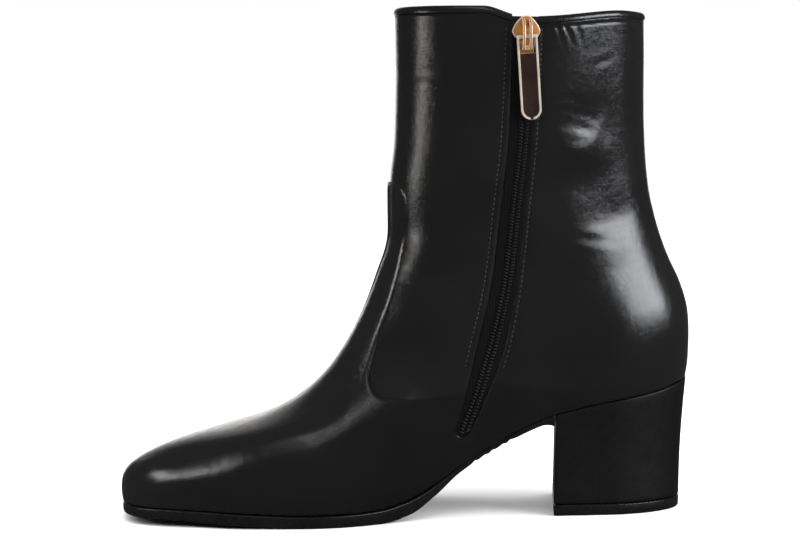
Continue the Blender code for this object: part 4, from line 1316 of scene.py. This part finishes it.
def flat_tab():
    """A grid with a window and a half round end spun on, its faces on one plane."""
    sheet = bmesh.new()
    bmesh.ops.create_grid(sheet, x_segments=3, y_segments=3, size=1.0)
    inside, turn_v = TAB_HALF - RIM, TAB_END + TAB_HALF
    across = (-TAB_HALF, -inside, inside, TAB_HALF)
    up = (turn_v, WINDOW_END, -TAB_TOP, TAB_TOP)
    for vert in sheet.verts:
        column, row = round((vert.co.x + 1) * 1.5), round((vert.co.y + 1) * 1.5)
        vert.co = (across[column], up[row], -TAB_THICK / 2)
    middle = Vector((0, (WINDOW_END - TAB_TOP) / 2, -TAB_THICK / 2))
    window = [f for f in sheet.faces if (f.calc_center_median() - middle).length < 0.5]
    bmesh.ops.delete(sheet, geom=window, context="FACES_ONLY")
    low = [e for e in sheet.edges
           if all(v.co.y < turn_v + 0.1 and v.co.x > inside - 0.1 for v in e.verts)]
    ends = list({vert for edge in low for vert in edge.verts})
    bmesh.ops.spin(
        sheet, geom=ends + low, cent=(0, turn_v, -TAB_THICK / 2), axis=(0, 0, 1),
        angle=-math.pi, steps=16,
    )
    bmesh.ops.remove_doubles(sheet, verts=sheet.verts, dist=1e-3)
    rims = [e for e in sheet.edges if e.is_boundary]
    arc = [e for e in rims if all(
        v.co.y < turn_v + 0.01 and math.hypot(v.co.x, v.co.y - turn_v) < inside + 0.1
        for v in e.verts)]
    arc += [e for e in rims if all(abs(v.co.y - turn_v) < 0.01 for v in e.verts)]
    bmesh.ops.holes_fill(sheet, edges=list(set(arc)), sides=0)
    bmesh.ops.recalc_face_normals(sheet, faces=sheet.faces)
    return sheet


def make_tab():
    """The flat tab, run to its thickness, with a sunk panel and rounded edges."""
    sheet = flat_tab()
    run = bmesh.ops.extrude_face_region(sheet, geom=sheet.faces[:])
    moved = [item for item in run["geom"] if isinstance(item, bmesh.types.BMVert)]
    bmesh.ops.translate(sheet, vec=(0, 0, TAB_THICK), verts=moved)
    bmesh.ops.recalc_face_normals(sheet, faces=sheet.faces)
    panel = [f for f in sheet.faces if f.normal.z > 0.9 and abs(f.calc_center_median().x) < 0.5
             and f.calc_center_median().y < WINDOW_END]
    bmesh.ops.inset_region(
        sheet, faces=panel, thickness=SUNK_SLOPE, depth=-SUNK, use_even_offset=True
    )
    # The whole frame takes the pale gold, a painted highlight on its rims; the sunk panel keeps its
    # dark finish.
    for face in sheet.faces:
        face.material_index = 1
    for face in panel:
        face.material_index = 2
    round_edges(sheet, TAB_ROUND)
    bmesh.ops.transform(sheet, matrix=TAB_FRAME, verts=sheet.verts)
    return sheet


finish_piece(
    "pull_tab_frame", make_tab(), [GOLD, GOLD_PAINTED_HIGHLIGHT, PANEL], body="pull_tab",
    stands_for=["zip_pull_tab"],
)

# %% [markdown]
# ## Floor, light and camera
# The boot stands on a plain pale floor. A large softbox on the right lights the counter, a strip
# on the left draws the line down the front, a small box in front lights the toe, and a slanted
# strip overhead lights the ball. Sheets of light behind give the bright rim, and a plain white
# ceiling lights the floor. Shiny black leather shows the room, so floor and ceiling are left out of
# its reflections and the world is dim except to the camera. A photographer also puts black flags
# beside a lamp to keep it off one part of the product. Light links do that here.

# %% Floor and world
FLOOR_HALF, FLOOR_DARK, FLOOR_LIGHT = 3.0, (0.86, 0.86, 0.86), (0.88, 0.88, 0.875)
ROOM, BACKDROP = (0.05, 0.05, 0.052), (1.0, 1.0, 1.0)  # the world as it lights, and as it is seen


def make_floor():
    sheet = bmesh.new()
    bmesh.ops.create_grid(sheet, x_segments=8, y_segments=8, size=FLOOR_HALF)
    mesh = bpy.data.meshes.new("floor")
    sheet.to_mesh(mesh)
    sheet.free()
    tree, shader, finish = start_finish("pale_floor")
    tone = place_group(tree, PATCHES, patches_per_metre=3.0)
    colour = mixed_colour(tree, tone.outputs[0], FLOOR_DARK, FLOOR_LIGHT)
    tree.links.new(colour, shader.inputs["Base Color"])
    shader.inputs["Roughness"].default_value = 0.9
    shader.inputs["Specular IOR Level"].default_value = 0.1
    mesh.materials.append(finish)
    floor = bpy.data.objects.new("floor", mesh)
    bpy.context.scene.collection.objects.link(floor)
    floor.visible_glossy = False


def make_world():
    world = bpy.data.worlds.new("studio")
    world.use_nodes = True
    tree = world.node_tree
    path = tree.nodes.new("ShaderNodeLightPath")
    seen = mixed_colour(tree, path.outputs["Is Camera Ray"], ROOM, BACKDROP)
    tree.links.new(seen, tree.nodes["Background"].inputs["Color"])
    bpy.context.scene.world = world


make_floor()
make_world()
bpy.context.scene.view_settings.view_transform = "Standard"
print("floor and world are set")

# %% Lights
Softbox = namedtuple("Softbox", "name place aim wide tall watts roll colour")
SOFTBOXES = [Softbox(*row) for row in (
    ("right_box", (1.915, -1.228, 0.93), (0.15, 0.05, 0.89), 1.85, 0.94, 68.0, 0, (0.93, 0.95, 1.0)),
    ("left_strip", (-0.49, -0.090, 0.18), (0.0, -0.02, 0.18), 0.13, 0.15, 0.34, 0, (1.0, 0.98, 0.95)),
    ("toe_box", (-0.418, -0.188, 0.290), (-0.088, -0.034, 0.025), 0.27, 0.14, 1.05, -28,
     (1.0, 0.98, 0.96)),
    ("top_box", (-0.213, -0.628, 1.011), (-0.036, -0.039, 0.040), 0.16, 1.02, 1.35, 24,
     (1.0, 1.0, 1.0)),
    ("back_sheet", (0.13, 1.25, 0.08), (0.0, 0.0, 0.08), 1.1, 0.4, 2.3, 0, (1.0, 0.97, 0.94)),
    ("back_upper", (0.13, 1.25, 0.52), (0.0, 0.0, 0.15), 1.1, 0.48, 0.6, 0, (1.0, 0.97, 0.94)),
)]
CEILING = Softbox(
    "ceiling", (0.0, 0.0, 3.2), (0.0, 0.001, 0.0), 12.0, 12.0, 1000.0, 0, (1.0, 1.0, 1.0)
)


def add_softbox(box):
    light = bpy.data.lights.new(box.name, "AREA")
    light.shape = "RECTANGLE"
    light.size, light.size_y = box.wide, box.tall
    light.energy = box.watts
    light.color = box.colour
    lamp = bpy.data.objects.new(box.name, light)
    bpy.context.scene.collection.objects.link(lamp)
    lamp.location = box.place
    turn = (Vector(box.aim) - Vector(box.place)).to_track_quat("-Z", "Y").to_matrix()
    lamp.rotation_euler = (turn @ Matrix.Rotation(math.radians(box.roll), 3, "Z")).to_euler()
    lamp.visible_camera = False
    return lamp


def flag(lamp, state, *pieces):
    """Keeps a lamp on these pieces alone, or off them, as black flags beside it would."""
    flagged = bpy.data.collections.new(lamp.name + "_flag")
    for piece in pieces:
        flagged.objects.link(piece)
    for member in flagged.collection_objects:
        member.light_linking.link_state = state
    lamp.light_linking.receiver_collection = flagged


lamps = {box.name: add_softbox(box) for box in SOFTBOXES}
flag(lamps["toe_box"], "INCLUDE", vamp, outsole)
flag(lamps["right_box"], "EXCLUDE", vamp)
flag(lamps["left_strip"], "EXCLUDE", vamp)
flag(lamps["top_box"], "EXCLUDE", upper)
add_softbox(CEILING).visible_glossy = False
print("lights:", [box.name for box in SOFTBOXES])

# %% Camera
IMAGE_WIDE, FOCAL_PX, SENSOR_WIDE = 800, 2003, 36.0
CAMERA_PLACE, CAMERA_TURN = (-0.0986, -0.8423, 0.1605), (86.14, 0.0, -6.44)


def add_camera():
    lens = bpy.data.cameras.new("photo_view")
    lens.sensor_fit = "HORIZONTAL"
    lens.sensor_width = SENSOR_WIDE
    lens.lens = SENSOR_WIDE * FOCAL_PX / IMAGE_WIDE
    camera = bpy.data.objects.new("photo_view", lens)
    bpy.context.scene.collection.objects.link(camera)
    camera.location = CAMERA_PLACE
    camera.rotation_euler = [math.radians(angle) for angle in CAMERA_TURN]
    bpy.context.scene.camera = camera


add_camera()
